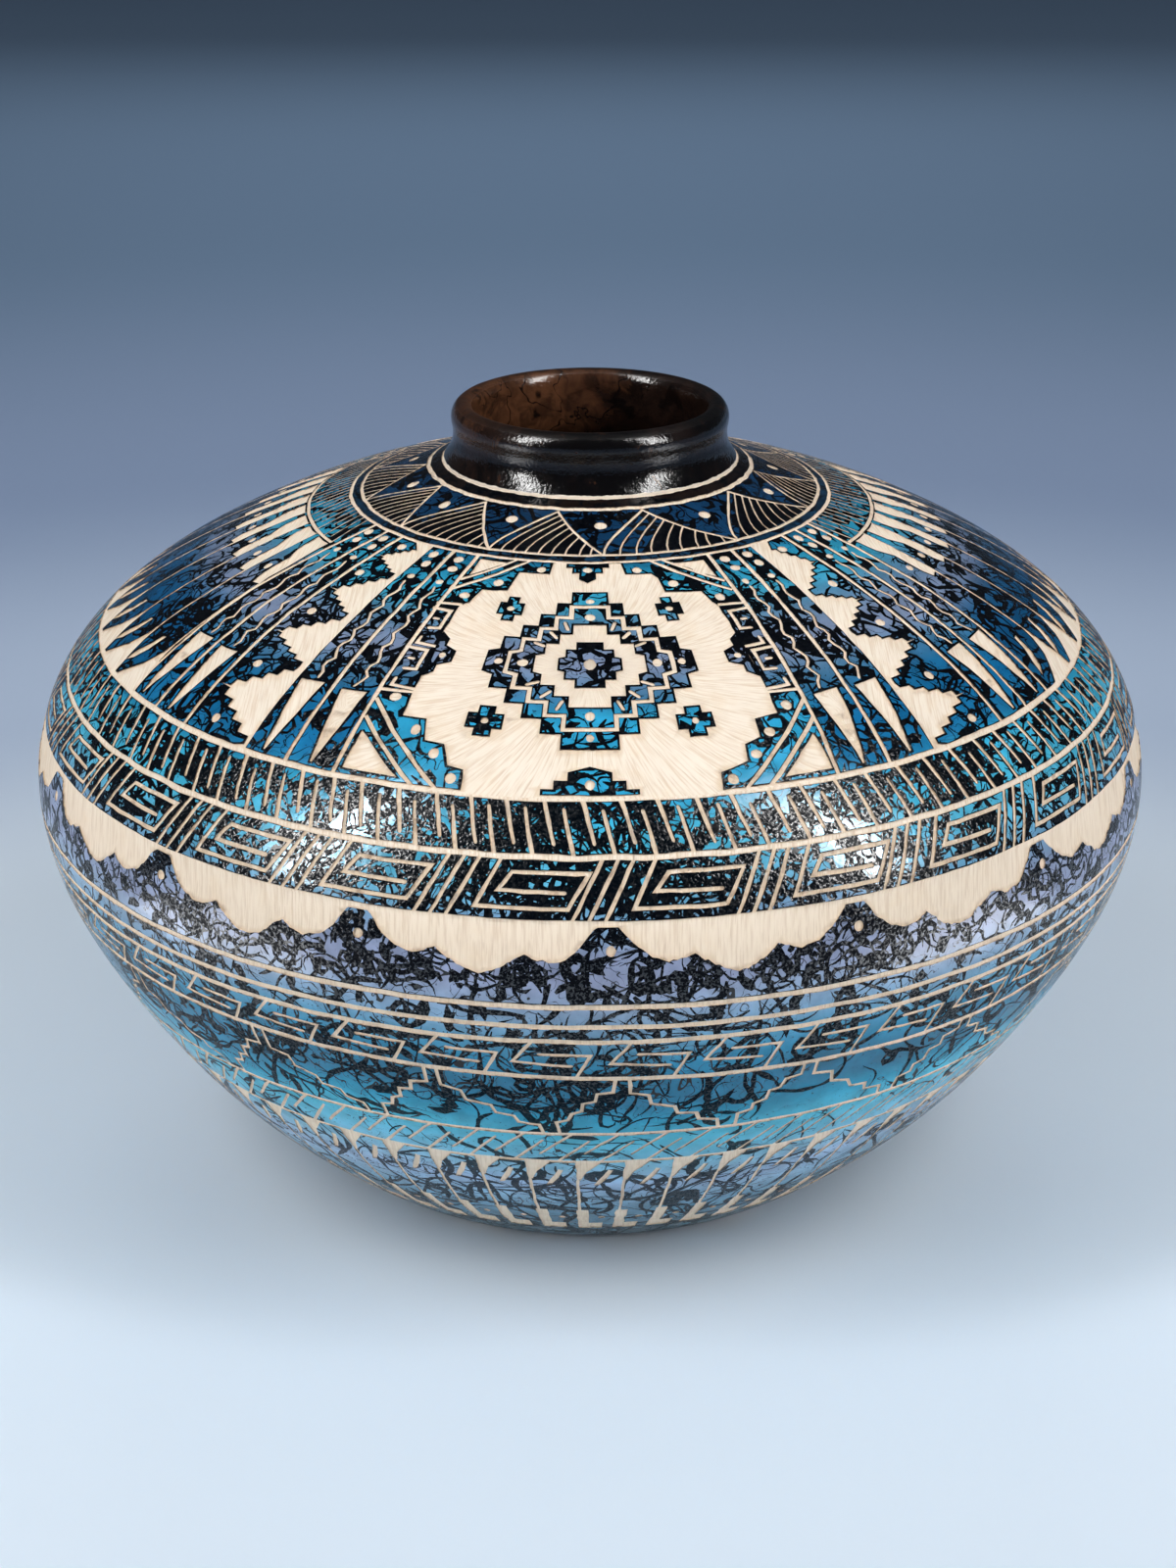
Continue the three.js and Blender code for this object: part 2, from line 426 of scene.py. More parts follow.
def draw_collar():
    b = Band("collar_band", R1, R4, 11)
    add_hair(b)
    valleys = [-76, -52.5, -24.5, 3.2, 37.5, 70, 93]
    peaks = [-61.5, -37, -10.5, 17.5, 54, 80.5]
    step = (284 - 93) / 7
    for i in range(1, 8):
        peaks.append(93 + step * (i - 1) + step * 0.55)
        valleys.append(93 + step * i)
    for i in range(len(peaks)):
        v0, p, v1 = valleys[i], peaks[i], valleys[i + 1]
        # soot fills most of the hatched triangle
        if not (0 < v0 < 20):
            b.area(SOOT_AND_SHADE, b.clip([(v0 + 1, .15), (p - (p - v0) * .45, .085), (p, .045), (v1 - 1.5, .15)]))
        else:
            b.area(SOOT_AND_SHADE, b.clip([(v0 + 9, .15), (p + 1, .09), (p + 6, .07), (v1 - 1.5, .15)]))
        curve = [((x * (p - v0)), .155 - .12 * x**0.55) for x in (0.0, .03, .1, .2, .34, .52, .75, 1.0)]
        b.stroke([(v0 + a, c) for a, c in curve], .66, shake=.05, step=9)
        b.stroke([(p, .036), (v1, .155)], .7, shake=.06, step=6)
        n = 9
        for k in range(1, n):
            d = (v1 - v0) * k / n * (1 + .02 * b.rng.uniform(-1, 1))
            pts = []
            for a, c in curve:
                h = (.155 - c) / .12
                edge = p + (1 - h) * (v1 - p)
                if v0 + d + a > edge - 0.2:
                    # end on the straight side
                    if pts:
                        (ta, sa) = pts[-1]
                        ha = (.155 - sa) / .12
                        ea = p + (1 - ha) * (v1 - p)
                        f = (ea - ta) / max(1e-6, (ea - ta) + (v0 + d + a - edge))
                        pts.append((ta + (v0 + d + a - ta) * f, sa + (c - sa) * f))
                    break
                pts.append((v0 + d + a, c))
            if len(pts) > 1:
                b.stroke(pts, .44, shake=.05, step=9)
    for t, s in [(-73.5, .067), (-49.8, .07), (-24, .067), (3, .072), (36.2, .072), (68.6, .078)]:
        b.dot(t, s, 2.6)
    for i in range(7, 13):
        b.dot(valleys[i] + .6, .071, 2.6)
    b.dot(93.5, .072, 2.6)
    b.ring(R1, .7, 1)
    b.ring(R2, .95, 2)
    b.ring(R3, .72, 3)
    b.ring(R4, .74, 4)
    return b


def serrated(tips, valleys, outer, steps=5):
    """The stepped edge of a column: from tip to valley and back, in small stairs."""
    pts = []
    order = []
    for i, tip in enumerate(tips):
        order.append(tip)
        if i < len(valleys):
            order.append(valleys[i])
    for i in range(len(order) - 1):
        (t0, s0), (t1, s1) = order[i], order[i + 1]
        for k in range(steps):
            a = k / steps
            c = (k + 1) / steps
            pts.append((t0 + (t1 - t0) * a, s0 + (s1 - s0) * a))
            # going towards the valley: first along, then out; and back the same way
            if i % 2 == 0:
                pts.append((t0 + (t1 - t0) * a + (t1 - t0) * .03, s0 + (s1 - s0) * (c - .12 / steps)))
            else:
                pts.append((t0 + (t1 - t0) * (c - .05 / steps), s0 + (s1 - s0) * (a + .1 / steps)))
    pts.append(order[-1])
    return pts


def draw_panels():
    b = Band("panel_band", R4, R5, 23)
    add_hair(b)
    add_soot(b)
    g = b.rng
    for c in (0.0, 180.0):
        def rel(pts):
            return [(c + a, s) for a, s in pts]

        # --- stepped columns on both sides of the middle panel
        right_tips = [(42, .19), (39.8, .327), (39.8, .43), (39.3, .55), (39.2, .675)]
        right_vals = [(48, .26), (47.6, .37), (48.2, .485), (47.8, .61)]
        left_tips = [(-40, .19), (-38.9, .272), (-39.5, .388), (-39.3, .51), (-39, .675)]
        left_vals = [(-47, .235), (-47.6, .34), (-48.5, .46), (-48.0, .59)]
        b.carve(rel([(39, .178), (48.9, .178), (49.6, .45), (49.6, .684), (38.6, .684), (38.9, .4)]))
        b.paint(rel([(44, .17)] + serrated(right_tips, right_vals, 49.3)[1:] + [(41, .685), (50.2, .685), (50.2, .17)]))
        b.carve(rel([(-38.2, .178), (-48, .178), (-49.4, .45), (-48.6, .684), (-38.7, .684), (-38.4, .4)]))
        b.paint(rel([(-43, .17)] + serrated(left_tips, left_vals, -49)[1:] + [(-41, .685), (-50, .685), (-50, .17)]))
        for t, s in [(44.8, .208), (45.6, .32), (45.8, .43), (45, .557), (45.9, .655),
                     (-44.6, .2), (-46, .288), (-46, .4), (-45.6, .533), (-44.8, .65)]:
            b.dot(c + t, s, 2.2)

        # --- upright lines
        for line in ([(27, .175), (26.6, .42), (26, .685)], [(33.3, .175), (32.9, .42), (32.3, .685)],
                     [(39, .175), (38.9, .42), (38.6, .685)], [(49.3, .175), (49.7, .42), (49.6, .685)],
                     [(54.7, .175), (55.6, .42), (55, .685)], [(60.6, .175), (61.5, .42), (60.6, .685)],
                     [(-25.5, .175), (-26.3, .42), (-27, .685)], [(-31.7, .175), (-32.5, .42), (-33, .685)],
                     [(-38, .175), (-38.4, .42), (-38.7, .685)], [(-47.8, .175), (-49.3, .42), (-48.5, .685)],
                     [(-53.5, .175), (-55.3, .42), (-54.7, .685)], [(-59, .175), (-61.4, .42), (-60.6, .685)]):
            b.stroke(rel(line), .95, shake=.07, step=5, ends=(0, 0))

        # --- narrow strips: dots, a wavy line and a wedge in each
        for mid, lean in ((30.2, -.9), (36.1, -.7), (52.4, .5), (58.2, .5),
                          (-28.8, -1.2), (-35.3, -.9), (-51.3, -1.2), (-57.3, -1.4)):
            def at(s, mid=mid, lean=lean):
                return c + mid + lean * (s - .175) / .51
            for k, s in enumerate((.197, .224, .262)):
                b.dot(at(s) + (-.25, .3, 0)[k], s, (2.3, 2.2, 1.7)[k])
            pts = []
            n = 22
            ph = g.uniform(0, 6.28)
            for i in range(n + 1):
                s = .278 + (.52 - .278) * i / n
                pts.append((at(s) + .46 * math.sin(ph + i * 1.62 + .5 * math.sin(i)) * min(1, .4 + i / 4), s))
            b.stroke(pts, .64, shake=.05, step=9, ends=(.7, .7))
            w = 1.75
            b.carve([(at(.53) - w, .532), (at(.53) + w, .528), (at(.6) + w * .62, .6), (at(.672) + .1, .672),
                     (at(.672) - .15, .672), (at(.6) - w * .5, .6)])

        # --- the middle panel's carved field
        field = [(-8, .178), (6.7, .178), (7.2, .21), (12.5, .212), (13.5, .225), (13.8, .262), (20.5, .27),
                 (21.3, .3), (22, .31), (22.3, .43), (22.2, .555), (19.2, .56), (19, .595), (17, .605),
                 (16.8, .635), (13.6, .65), (13.4, .6845), (-13, .6845), (-13.2, .645), (-15, .64), (-16, .603),
                 (-18.3, .6), (-19, .56), (-22, .56), (-22.3, .43), (-22.3, .31), (-21, .3), (-20, .265),
                 (-15.3, .26), (-14.5, .21), (-8.2, .21)]
        b.carve(rel(field))
        for t, s, d in [(-10.2, .199, 2.0), (-17.7, .243, 2.2), (-22.6, .285, 2.2), (9.8, .2, 2.0), (16, .243, 2.2),
                        (23.2, .29, 2.2), (-24, .527, 2.4), (-19.8, .583, 2.3), (-16.8, .622, 2.3), (-14.3, .662, 2.3),
                        (23.7, .543, 2.4), (20.3, .588, 2.3), (17.9, .625, 2.3), (14.7, .664, 2.3)]:
            b.dot(c + t, s, d)
        for tri in ([(-24.4, .186), (-18.2, .187), (-24.3, .232)], [(18.2, .188), (25.1, .19), (25.3, .238)],
                    [(-25.9, .6), (-26.2, .67), (-20.0, .671)], [(25.2, .603), (25.6, .67), (20.2, .671)]):
            b.carve(rel(tri))
        for line in ([(-16.4, .176), (-25.4, .247)], [(-13.4, .176), (-25.6, .272)],
                     [(16.2, .176), (26.2, .252)], [(13.4, .176), (26.3, .277)],
                     [(-26.4, .572), (-18.1, .684)], [(-26.3, .535), (-15.6, .684)],
                     [(26.2, .574), (18.3, .684)], [(26.2, .537), (15.8, .684)]):
            b.stroke(rel(line), .9, shake=.06, step=5, ends=(0, 0))
        # frets in the side strips
        for sg in (1, -1):
            for s in (.308, .512):
                b.stroke([(c + sg * 22, s), (c + sg * 26.6, s + .004)], .85, ends=(0, 0), step=9)
            for s in (.325, .42):
                b.stroke([(c + sg * 26.6, s), (c + sg * 23.2, s + .002), (c + sg * 23.3, s + .045),
                          (c + sg * 25.0, s + .047)], .8, ends=(0, .5), step=9, shake=.05)
                b.stroke([(c + sg * 22, s + .086), (c + sg * 25.4, s + .084), (c + sg * 25.3, s + .07)], .8,
                         ends=(0, .5), step=9, shake=.05)
                b.stroke([(c + sg * 24.4, s + .024), (c + sg * 25.2, s + .024)], .75, ends=(.4, .4), step=9, shake=.05)
        medallion(b, c)

    # --- fans at the two sides
    for c in (90.0, 270.0):
        a0 = c - 28.5
        b.stroke([(a0, .256), (a0 + 57, .256)], .8, shake=.06, step=5, ends=(0, 0))
        n = 25
        for i in range(n):
            t = a0 + 57 * (i + .6) / n
            e = [.256, .240, .256, .226, .256, .246][i % 6]
            b.stroke([(t - 1.0, .176), (t - 1.0 + (e - .176) * 24, e)], .36, shake=.05, step=6, ends=(0, .5))
        cell = 57 / 8
        for i in range(8):
            e = a0 + cell * i
            # pale top, beside a painted column that widens
            b.carve([(e + 2.0, .262), (e + cell - .1, .262), (e + cell - .1, .400), (e + 5.2, .405), (e + 4.5, .385),
                     (e + 4.4, .33), (e + 2.6, .30)])
            b.dot(e + 3.0, .365, 2.0)
            if i:
                b.stroke([(e, .26), (e, .41)], .56, shake=.06, step=6, ends=(0, .4))
            b.stroke([(e + cell - .1, .40), (e + cell - .1, .575)], .62, shake=.06, step=6, ends=(0, 0))
            # rounded lower ends, pale between them
            b.carve([(e + cell - .1, .56), (e + cell - .5, .60), (e + cell - 1.8, .635), (e + cell - 3.9, .664),
                     (e + cell - 5.4, .684), (e + cell + 1.3, .684), (e + cell + 1.1, .66), (e + cell + .35, .61)])
            b.carve([(e + 3.2, .58), (e + 3.9, .578), (e + 3.3, .615), (e + 2.2, .642), (e + .9, .657), (e + 1.5, .63),
                     (e + 2.6, .605)])
    b.ring(R4, .74, 4)
    b.ring(R5, 1.2, 5)
    return b


def medallion(b, c):
    """A stepped lozenge of plain geometry in the middle of the carved field."""
    cs = .428

    def lozenge(w, h, n):
        """stairs from the top round to the right, bottom and left"""
        quarter = []
        for i in range(n):
            x0, x1 = w * i / n, w * (i + 1) / n
            y = h * (1 - i / n)
            quarter.append((x0 + w / n * .35, y))
            quarter.append((x1 + w / n * .35 if i < n - 1 else w, y if i < n - 1 else h / n * .8))
        pts = [(c + x, cs - y) for x, y in quarter]
        pts += [(c + x, cs + y) for x, y in quarter[::-1]]
        pts += [(c - x, cs + y) for x, y in quarter]
        pts += [(c - x, cs - y) for x, y in quarter[::-1]]
        return pts

    b.paint(lozenge(14.5, .172, 6))
    # a carved line that follows the stairs
    ring = lozenge(11.3, .134, 5)
    b.stroke(ring + [ring[0]], .95, shake=.05, step=8, ends=(0, 0), chunk=2)
    # inner pale lozenge with a painted heart
    b.carve(lozenge(7.6, .09, 4))
    b.paint(lozenge(4.4, .05, 3))
    b.dot(c, cs, 2.8)
    for a, d in ((0, -.108), (0, .108), (9.2, 0), (-9.2, 0)):
        b.dot(c + a, cs + d, 2.1)
    for a, d in ((0, -.148), (0, .15), (12.6, 0), (-12.6, 0)):
        b.dot(c + a, cs + d, 1.7)
    # short bars radiating in the ring between the two lozenges
    for sx in (1, -1):
        for sy in (1, -1):
            for k in (.3, .5, .7):
                x0, y0 = 8.3 * k, .098 * (1 - k)
                x1, y1 = 10.2 * k, .121 * (1 - k)
                b.stroke([(c + sx * (x0 + .9), cs + sy * (y0 + .01)), (c + sx * (x1 + .9), cs + sy * (y1 + .01))], .75,
                         shake=.03, step=9)
    # small stepped triangles hanging from the top edge and standing on the lower edge
    top = [(-4.6, .1775), (-4.6, .19), (-3.2, .19), (-3.2, .205), (-1.7, .205), (-1.7, .221), (0, .232),
           (1.7, .221), (1.7, .205), (3.2, .205), (3.2, .19), (4.6, .19), (4.6, .1775)]
    b.paint([(c + t - .5, s) for t, s in top])
    b.dot(c - .5, .197, 1.9)
    low = [(-5.0, .6846), (-5.0, .67), (-3.7, .67), (-3.7, .655), (-2.3, .655), (-2.3, .64), (0, .63),
           (2.3, .64), (2.3, .655), (3.7, .655), (3.7, .67), (5.0, .67), (5.0, .6846)]
    b.paint([(c + t, s) for t, s in low])
    b.dot(c, .662, 2.1)
    # small lozenges in the four quarters of the field
    for sx in (1, -1):
        for s, x in ((.305, 13.4), (.552, 12.2)):
            q = [(0, -.026), (.9, -.026), (.9, -.013), (1.9, -.013), (1.9, .013), (.9, .013), (.9, .026),
                 (-.9, .026), (-.9, .013), (-1.9, .013), (-1.9, -.013), (-.9, -.013), (-.9, -.026)]
            k = 1.15
            b.paint([(c + sx * x + a * k, s + d * k) for a, d in q[1:]])
            b.dot(c + sx * x, s, 1.5)
        q = [(22.4, .375), (20.8, .39), (20.8, .405), (19.0, .415), (19.0, .44), (20.8, .45), (20.8, .465), (22.4, .48)]
        b.paint([(c + sx * a, d) for a, d in q])
        b.dot(c + sx * 20.7, .428, 1.5)


def draw_comb():
    b = Band("comb_band", R5, R6, 31)
    add_hair(b)
    add_soot(b)
    n = 97
    g = b.rng
    for i in range(n):
        t = -180 + 360 * (i + .3) / n + g.gauss(0, .1)
        b.stroke([(t - .05, .686), (t + 1.15, .758 + g.gauss(0, .002))], [1.0, .72], shake=.05, step=5, ends=(0, .5))
        t += 360 / n / 2 + g.gauss(0, .1)
        b.stroke([(t + 1.2, .779), (t + .15, .705 + g.gauss(0, .002))], [.95, .7], shake=.05, step=5, ends=(0, .5))
    b.ring(R5, 1.2, 5)
    b.ring(R6, 1.1, 6)
    return b


def draw_fret():
    b = Band("fret_band", R6, R7, 37)
    add_hair(b)
    add_soot(b)
    g = b.rng
    n = 25
    for i in range(n):
        t = 14.4 * (i - 12) + g.gauss(0, .12)
        for a in (1.3, 2.75, 4.2):
            b.stroke([(t + a, .78), (t + a - 2.8, .878)], .85, shake=.05, step=5, ends=(0, 0))
        b.stroke([(t + 6.2, .78), (t + 4.0, .857), (t + 12.3, .857), (t + 14.2, .803), (t + 7.2, .803), (t + 6.0, .831),
                  (t + 12.0, .833)], .85, shake=.05, step=6, ends=(0, .4), tight=2.6)
    b.ring(R6, 1.1, 6)
    b.ring(R7, .9, 7)
    return b


def draw_scallops():
    b = Band("scallop_band", R7, RA, 41)
    add_hair(b)
    add_soot(b)
    g = b.rng
    for i in range(16):
        p = 1.6 + 22.5 * (i - 8)
        half = [(1.2, .8875), (2.4, .915), (3.6, .932), (5.2, .94), (6.4, .934), (7.4, .927), (8.2, .936), (9, .945),
                (10, .957), (11.25, .962)]
        j = [(a + g.gauss(0, .12), s + g.gauss(0, .0013)) for a, s in half]
        k = [(22.5 - a + g.gauss(0, .12), s + g.gauss(0, .0013)) for a, s in half[:-1][::-1]]
        edge = [(p + a, s) for a, s in j + k]
        # the scallop's edge is worn into small nicks
        fine = []
        for m in range(len(edge) - 1):
            (t0, s0), (t1, s1) = edge[m], edge[m + 1]
            for q in range(3):
                f = q / 3
                fine.append((t0 + (t1 - t0) * f, s0 + (s1 - s0) * f + (g.gauss(0, .0011) if q else 0)))
        fine.append(edge[-1])
        b.area(CARVE, [(p - .8, .878), (p - .8, .884), (p + .9, .884)] + fine + [(p + 22.5 - .9, .884), (p + 22.5, .884),
                                                                        (p + 22.5, .878)])
        b.dot(p + .2, .921, 2.1)
    b.ring(R7, .9, 7)
    b.ring(RA, 1.05, 8)
    return b


def draw_waist():
    b = Band("waist_band", RA, RE, 43)
    add_hair(b)
    add_soot(b)
    g = b.rng
    b.ring(RA, 1.05, 8)
    b.ring(RB, 1.0, 9)
    b.ring(RC, 1.05, 10)
    n = 42
    for i in range(n):
        t = -180 + 360 * i / n + g.gauss(0, .1)
        e = rise_d(t)
        b.stroke([(t - 5, 1.079), (t - 6.8, 1.121 + e * .4), (t - 1.5, 1.128 + e * .4)], .7, shake=.05, step=6, ends=(0, .5))
        b.stroke([(t - 4.4, 1.103 + e * .2), (t + .2, 1.105 + e * .2), (t - 1.1, 1.154 + e)], .7, shake=.05, step=6, ends=(.5, 0))
    b.ring(RD, 1.1, 12, rise=rise_d)
    for i in range(20):
        c = 18.0 * (i - 10) + g.gauss(0, .15)
        e = rise_d(c + 3)
        left = [(2.3, 1.156 + e), (2.3, 1.19), (.6, 1.195), (.5, 1.215), (-.7, 1.22), (-.8, 1.243), (-1.9, 1.25),
                (-2, 1.268), (-3.3, 1.275), (-3.2, 1.309)]
        right = [(3.5, 1.155 + e), (3.7, 1.195), (5.5, 1.2), (5.9, 1.225), (8, 1.235), (8.6, 1.255), (10.3, 1.26),
                 (10.7, 1.278), (12.6, 1.285), (13, 1.309)]
        b.stroke([(c + a + g.gauss(0, .08), s + g.gauss(0, .001)) for a, s in left], .8, shake=.05, step=7, ends=(0, 0))
        b.stroke([(c + a + g.gauss(0, .08), s + g.gauss(0, .001)) for a, s in right], .8, shake=.05, step=7, ends=(0, 0))
    b.ring(RE, 1.05, 13)
    return b


def draw_slant():
    b = Band("slant_band", RE, RF, 47)
    add_hair(b)
    g = b.rng
    n = 150
    for i in range(n):
        t = -180 + 360 * (i + .5) / n + g.gauss(0, .1)
        if i % 2:
            b.stroke([(t + 1.7, 1.312), (t - 1.7, 1.379 + g.gauss(0, .002))], [.8, .6], shake=.05, step=5, ends=(0, .5))
        else:
            b.stroke([(t - 2.2, 1.405), (t + 1.1, 1.335 + g.gauss(0, .002))], [.8, .6], shake=.05, step=5, ends=(0, .5))
    b.ring(RE, 1.05, 13)
    b.ring(RF, 1.0, 14)
    return b


def draw_feathers():
    b = Band("feather_band", RF, S_END, 53)
    add_hair(b)
    g = b.rng
    n = 66
    for i in range(n):
        t = -180 + 360 * i / n + g.gauss(0, .07)
        b.carve([(t - 1.7, 1.404), (t + 1.2, 1.404), (t + .5, 1.424), (t - .5, 1.446), (t - 1.15, 1.478), (t - 1.6, 1.482)], 0)
        b.stroke([(t - 1.5, 1.48), (t - 1.5, 1.635)], .7, shake=.05, step=5, ends=(0, 0))
        b.carve([(t - 1.9, 1.63), (t - .35, 1.63), (t - .3, 1.727), (t + 1.8, 1.727), (t + 1.8, 1.776), (t - 1.9, 1.776)], 0)
        b.dot(t + 1.5, 1.68, 1.6, n=9)
        b.carve([(t + 1.9, 1.437), (t + 2.45, 1.44), (t + 1.8, 1.472), (t + .95, 1.498), (t + .3, 1.502), (t + .85, 1.478),
                 (t + 1.45, 1.457)], 0)
    b.ring(RF, 1.0, 14)
    return b


# ------------------------------------------------------------------ colour of the painted skin
def srgb(c):
    c = np.asarray(c, float) / 255
    return np.where(c <= 0.04045, c / 12.92, ((c + 0.055) / 1.055) ** 2.4)


RAMP = [
    (0.000, (26, 18, 15)), (0.026, (26, 18, 15)), (0.030, (14, 52, 86)), (.14, (16, 60, 98)), (.16, (20, 52, 78)),
    (.176, (22, 60, 88)), (.185, (28, 118, 158)), (.25, (44, 150, 186)), (.30, (58, 160, 194)), (.345, (84, 134, 168)),
    (.40, (114, 133, 163)), (.44, (124, 140, 170)), (.49, (72, 122, 158)), (.54, (26, 104, 150)), (.60, (14, 100, 150)),
    (.67, (26, 112, 158)), (.70, (48, 160, 198)), (.77, (70, 176, 208)), (.83, (96, 178, 210)), (.88, (118, 156, 190)),
    (.92, (136, 148, 176)), (.97, (140, 150, 180)), (1.01, (138, 162, 190)), (1.05, (118, 160, 190)),
    (1.08, (84, 150, 182)), (1.12, (32, 130, 166)), (1.17, (38, 114, 146)), (1.22, (40, 118, 150)),
    (1.27, (38, 148, 180)), (1.33, (76, 180, 204)), (1.39, (104, 184, 210)), (1.43, (128, 184, 208)),
    (1.50, (150, 176, 206)), (1.56, (128, 168, 194)), (1.62, (96, 144, 170)), (1.70, (78, 122, 144)),
    (1.80, (78, 118, 134)), (1.93, (60, 98, 116)),
]
N_HUE, N_VALUE, N_FINE = waves(5, 70), waves(6, 30), waves(7, 9)


def paint_colour(t, s, p):
    """Linear colour of the skin at each vertex."""
    xs = np.array([a for a, _ in RAMP])
    cs = srgb([c for _, c in RAMP])
    sj = s + 0.012 * N_HUE(p) / 1.5 * (s > 0.2)
    col = np.stack([np.interp(sj, xs, cs[:, k]) for k in range(3)], 1)
    tt = (t + 180) % 360 - 180
    # distance from the nearest panel centre (0 or 180) and fan centre (90 or 270)
    pa = np.minimum(np.abs(tt), 180 - np.abs(tt))
    fan = np.clip((pa - 59) / 3, 0, 1) * (s > .176) * (s < .686)
    navy = srgb((6, 74, 118))
    k = fan * np.interp(s, [.42, .5, .58, .66], [0, .85, .9, .5])
    col = col * (1 - k[:, None]) + navy * k[:, None]
    # the lower corners of the middle panel are turquoise
    tq = srgb((46, 160, 203))
    k = np.clip((27 - pa) / 1.5, 0, 1) * np.interp(s, [.50, .54, .69, .70], [0, .95, .95, 0])
    col = col * (1 - k[:, None]) + tq * k[:, None]
    v = 1 + 0.07 * N_VALUE(p) + 0.04 * N_FINE(p)
    return np.clip(col * v[:, None], 0.001, 1)


# ------------------------------------------------------------------ turning a band into a mesh
def winding(px, py, poly):
    """How often the polygon turns round each point."""
    x0, y0 = poly[:, 0], poly[:, 1]
    x1, y1 = np.roll(x0, -1), np.roll(y0, -1)
    up = (y0[None] <= py[:, None]) & (y1[None] > py[:, None])
    dn = (y1[None] <= py[:, None]) & (y0[None] > py[:, None])
    side = (x1 - x0)[None] * (py[:, None] - y0[None]) - (px[:, None] - x0[None]) * (y1 - y0)[None]
    return (up & (side > 0)).sum(1) - (dn & (side < 0)).sum(1)


def cut_up(xy, cons):
    """Vertices and counter-clockwise Delaunay triangles through the given edges."""
    ov, _, of, _, _, _ = delaunay_2d_cdt([Vector(p) for p in xy.tolist()], cons, [], 0, 1e-5, False)
    v = np.array([(q[0], q[1]) for q in ov])
    f = np.array([q for q in of if len(q) == 3])
    a, b, c = v[f[:, 0]], v[f[:, 1]], v[f[:, 2]]
    area = (b[:, 0] - a[:, 0]) * (c[:, 1] - a[:, 1]) - (b[:, 1] - a[:, 1]) * (c[:, 0] - a[:, 0])
    f[area < 0] = f[area < 0][:, ::-1]
    return v, f, (a + b + c) / 3


def kind_at(mid, shapes):
    """0 skin, 1 smoke mark and painted shade along carved edges, 2 carved, for each place."""
    cx, cy = mid[:, 0], mid[:, 1]
    top = np.zeros(len(mid), int)
    dark_mark = np.zeros(len(mid), bool)
    order = np.argsort(cx)
    xs = cx[order]
    for role, p, (xa, ya), (xb, yb) in shapes:
        idx = order[np.searchsorted(xs, xa):np.searchsorted(xs, xb)]
        idx = idx[(cy[idx] > ya) & (cy[idx] < yb)]
        if role == SOOT_AND_SHADE:
            idx = idx[~dark_mark[idx]]
        if not len(idx):
            continue
        idx = idx[winding(cx[idx], cy[idx], p) != 0]
        if role == SOOT_AND_SHADE:
            dark_mark[idx] = True
        else:
            top[idx] = role
    return np.where(top == CARVE, 2, np.where(dark_mark, 1, 0))


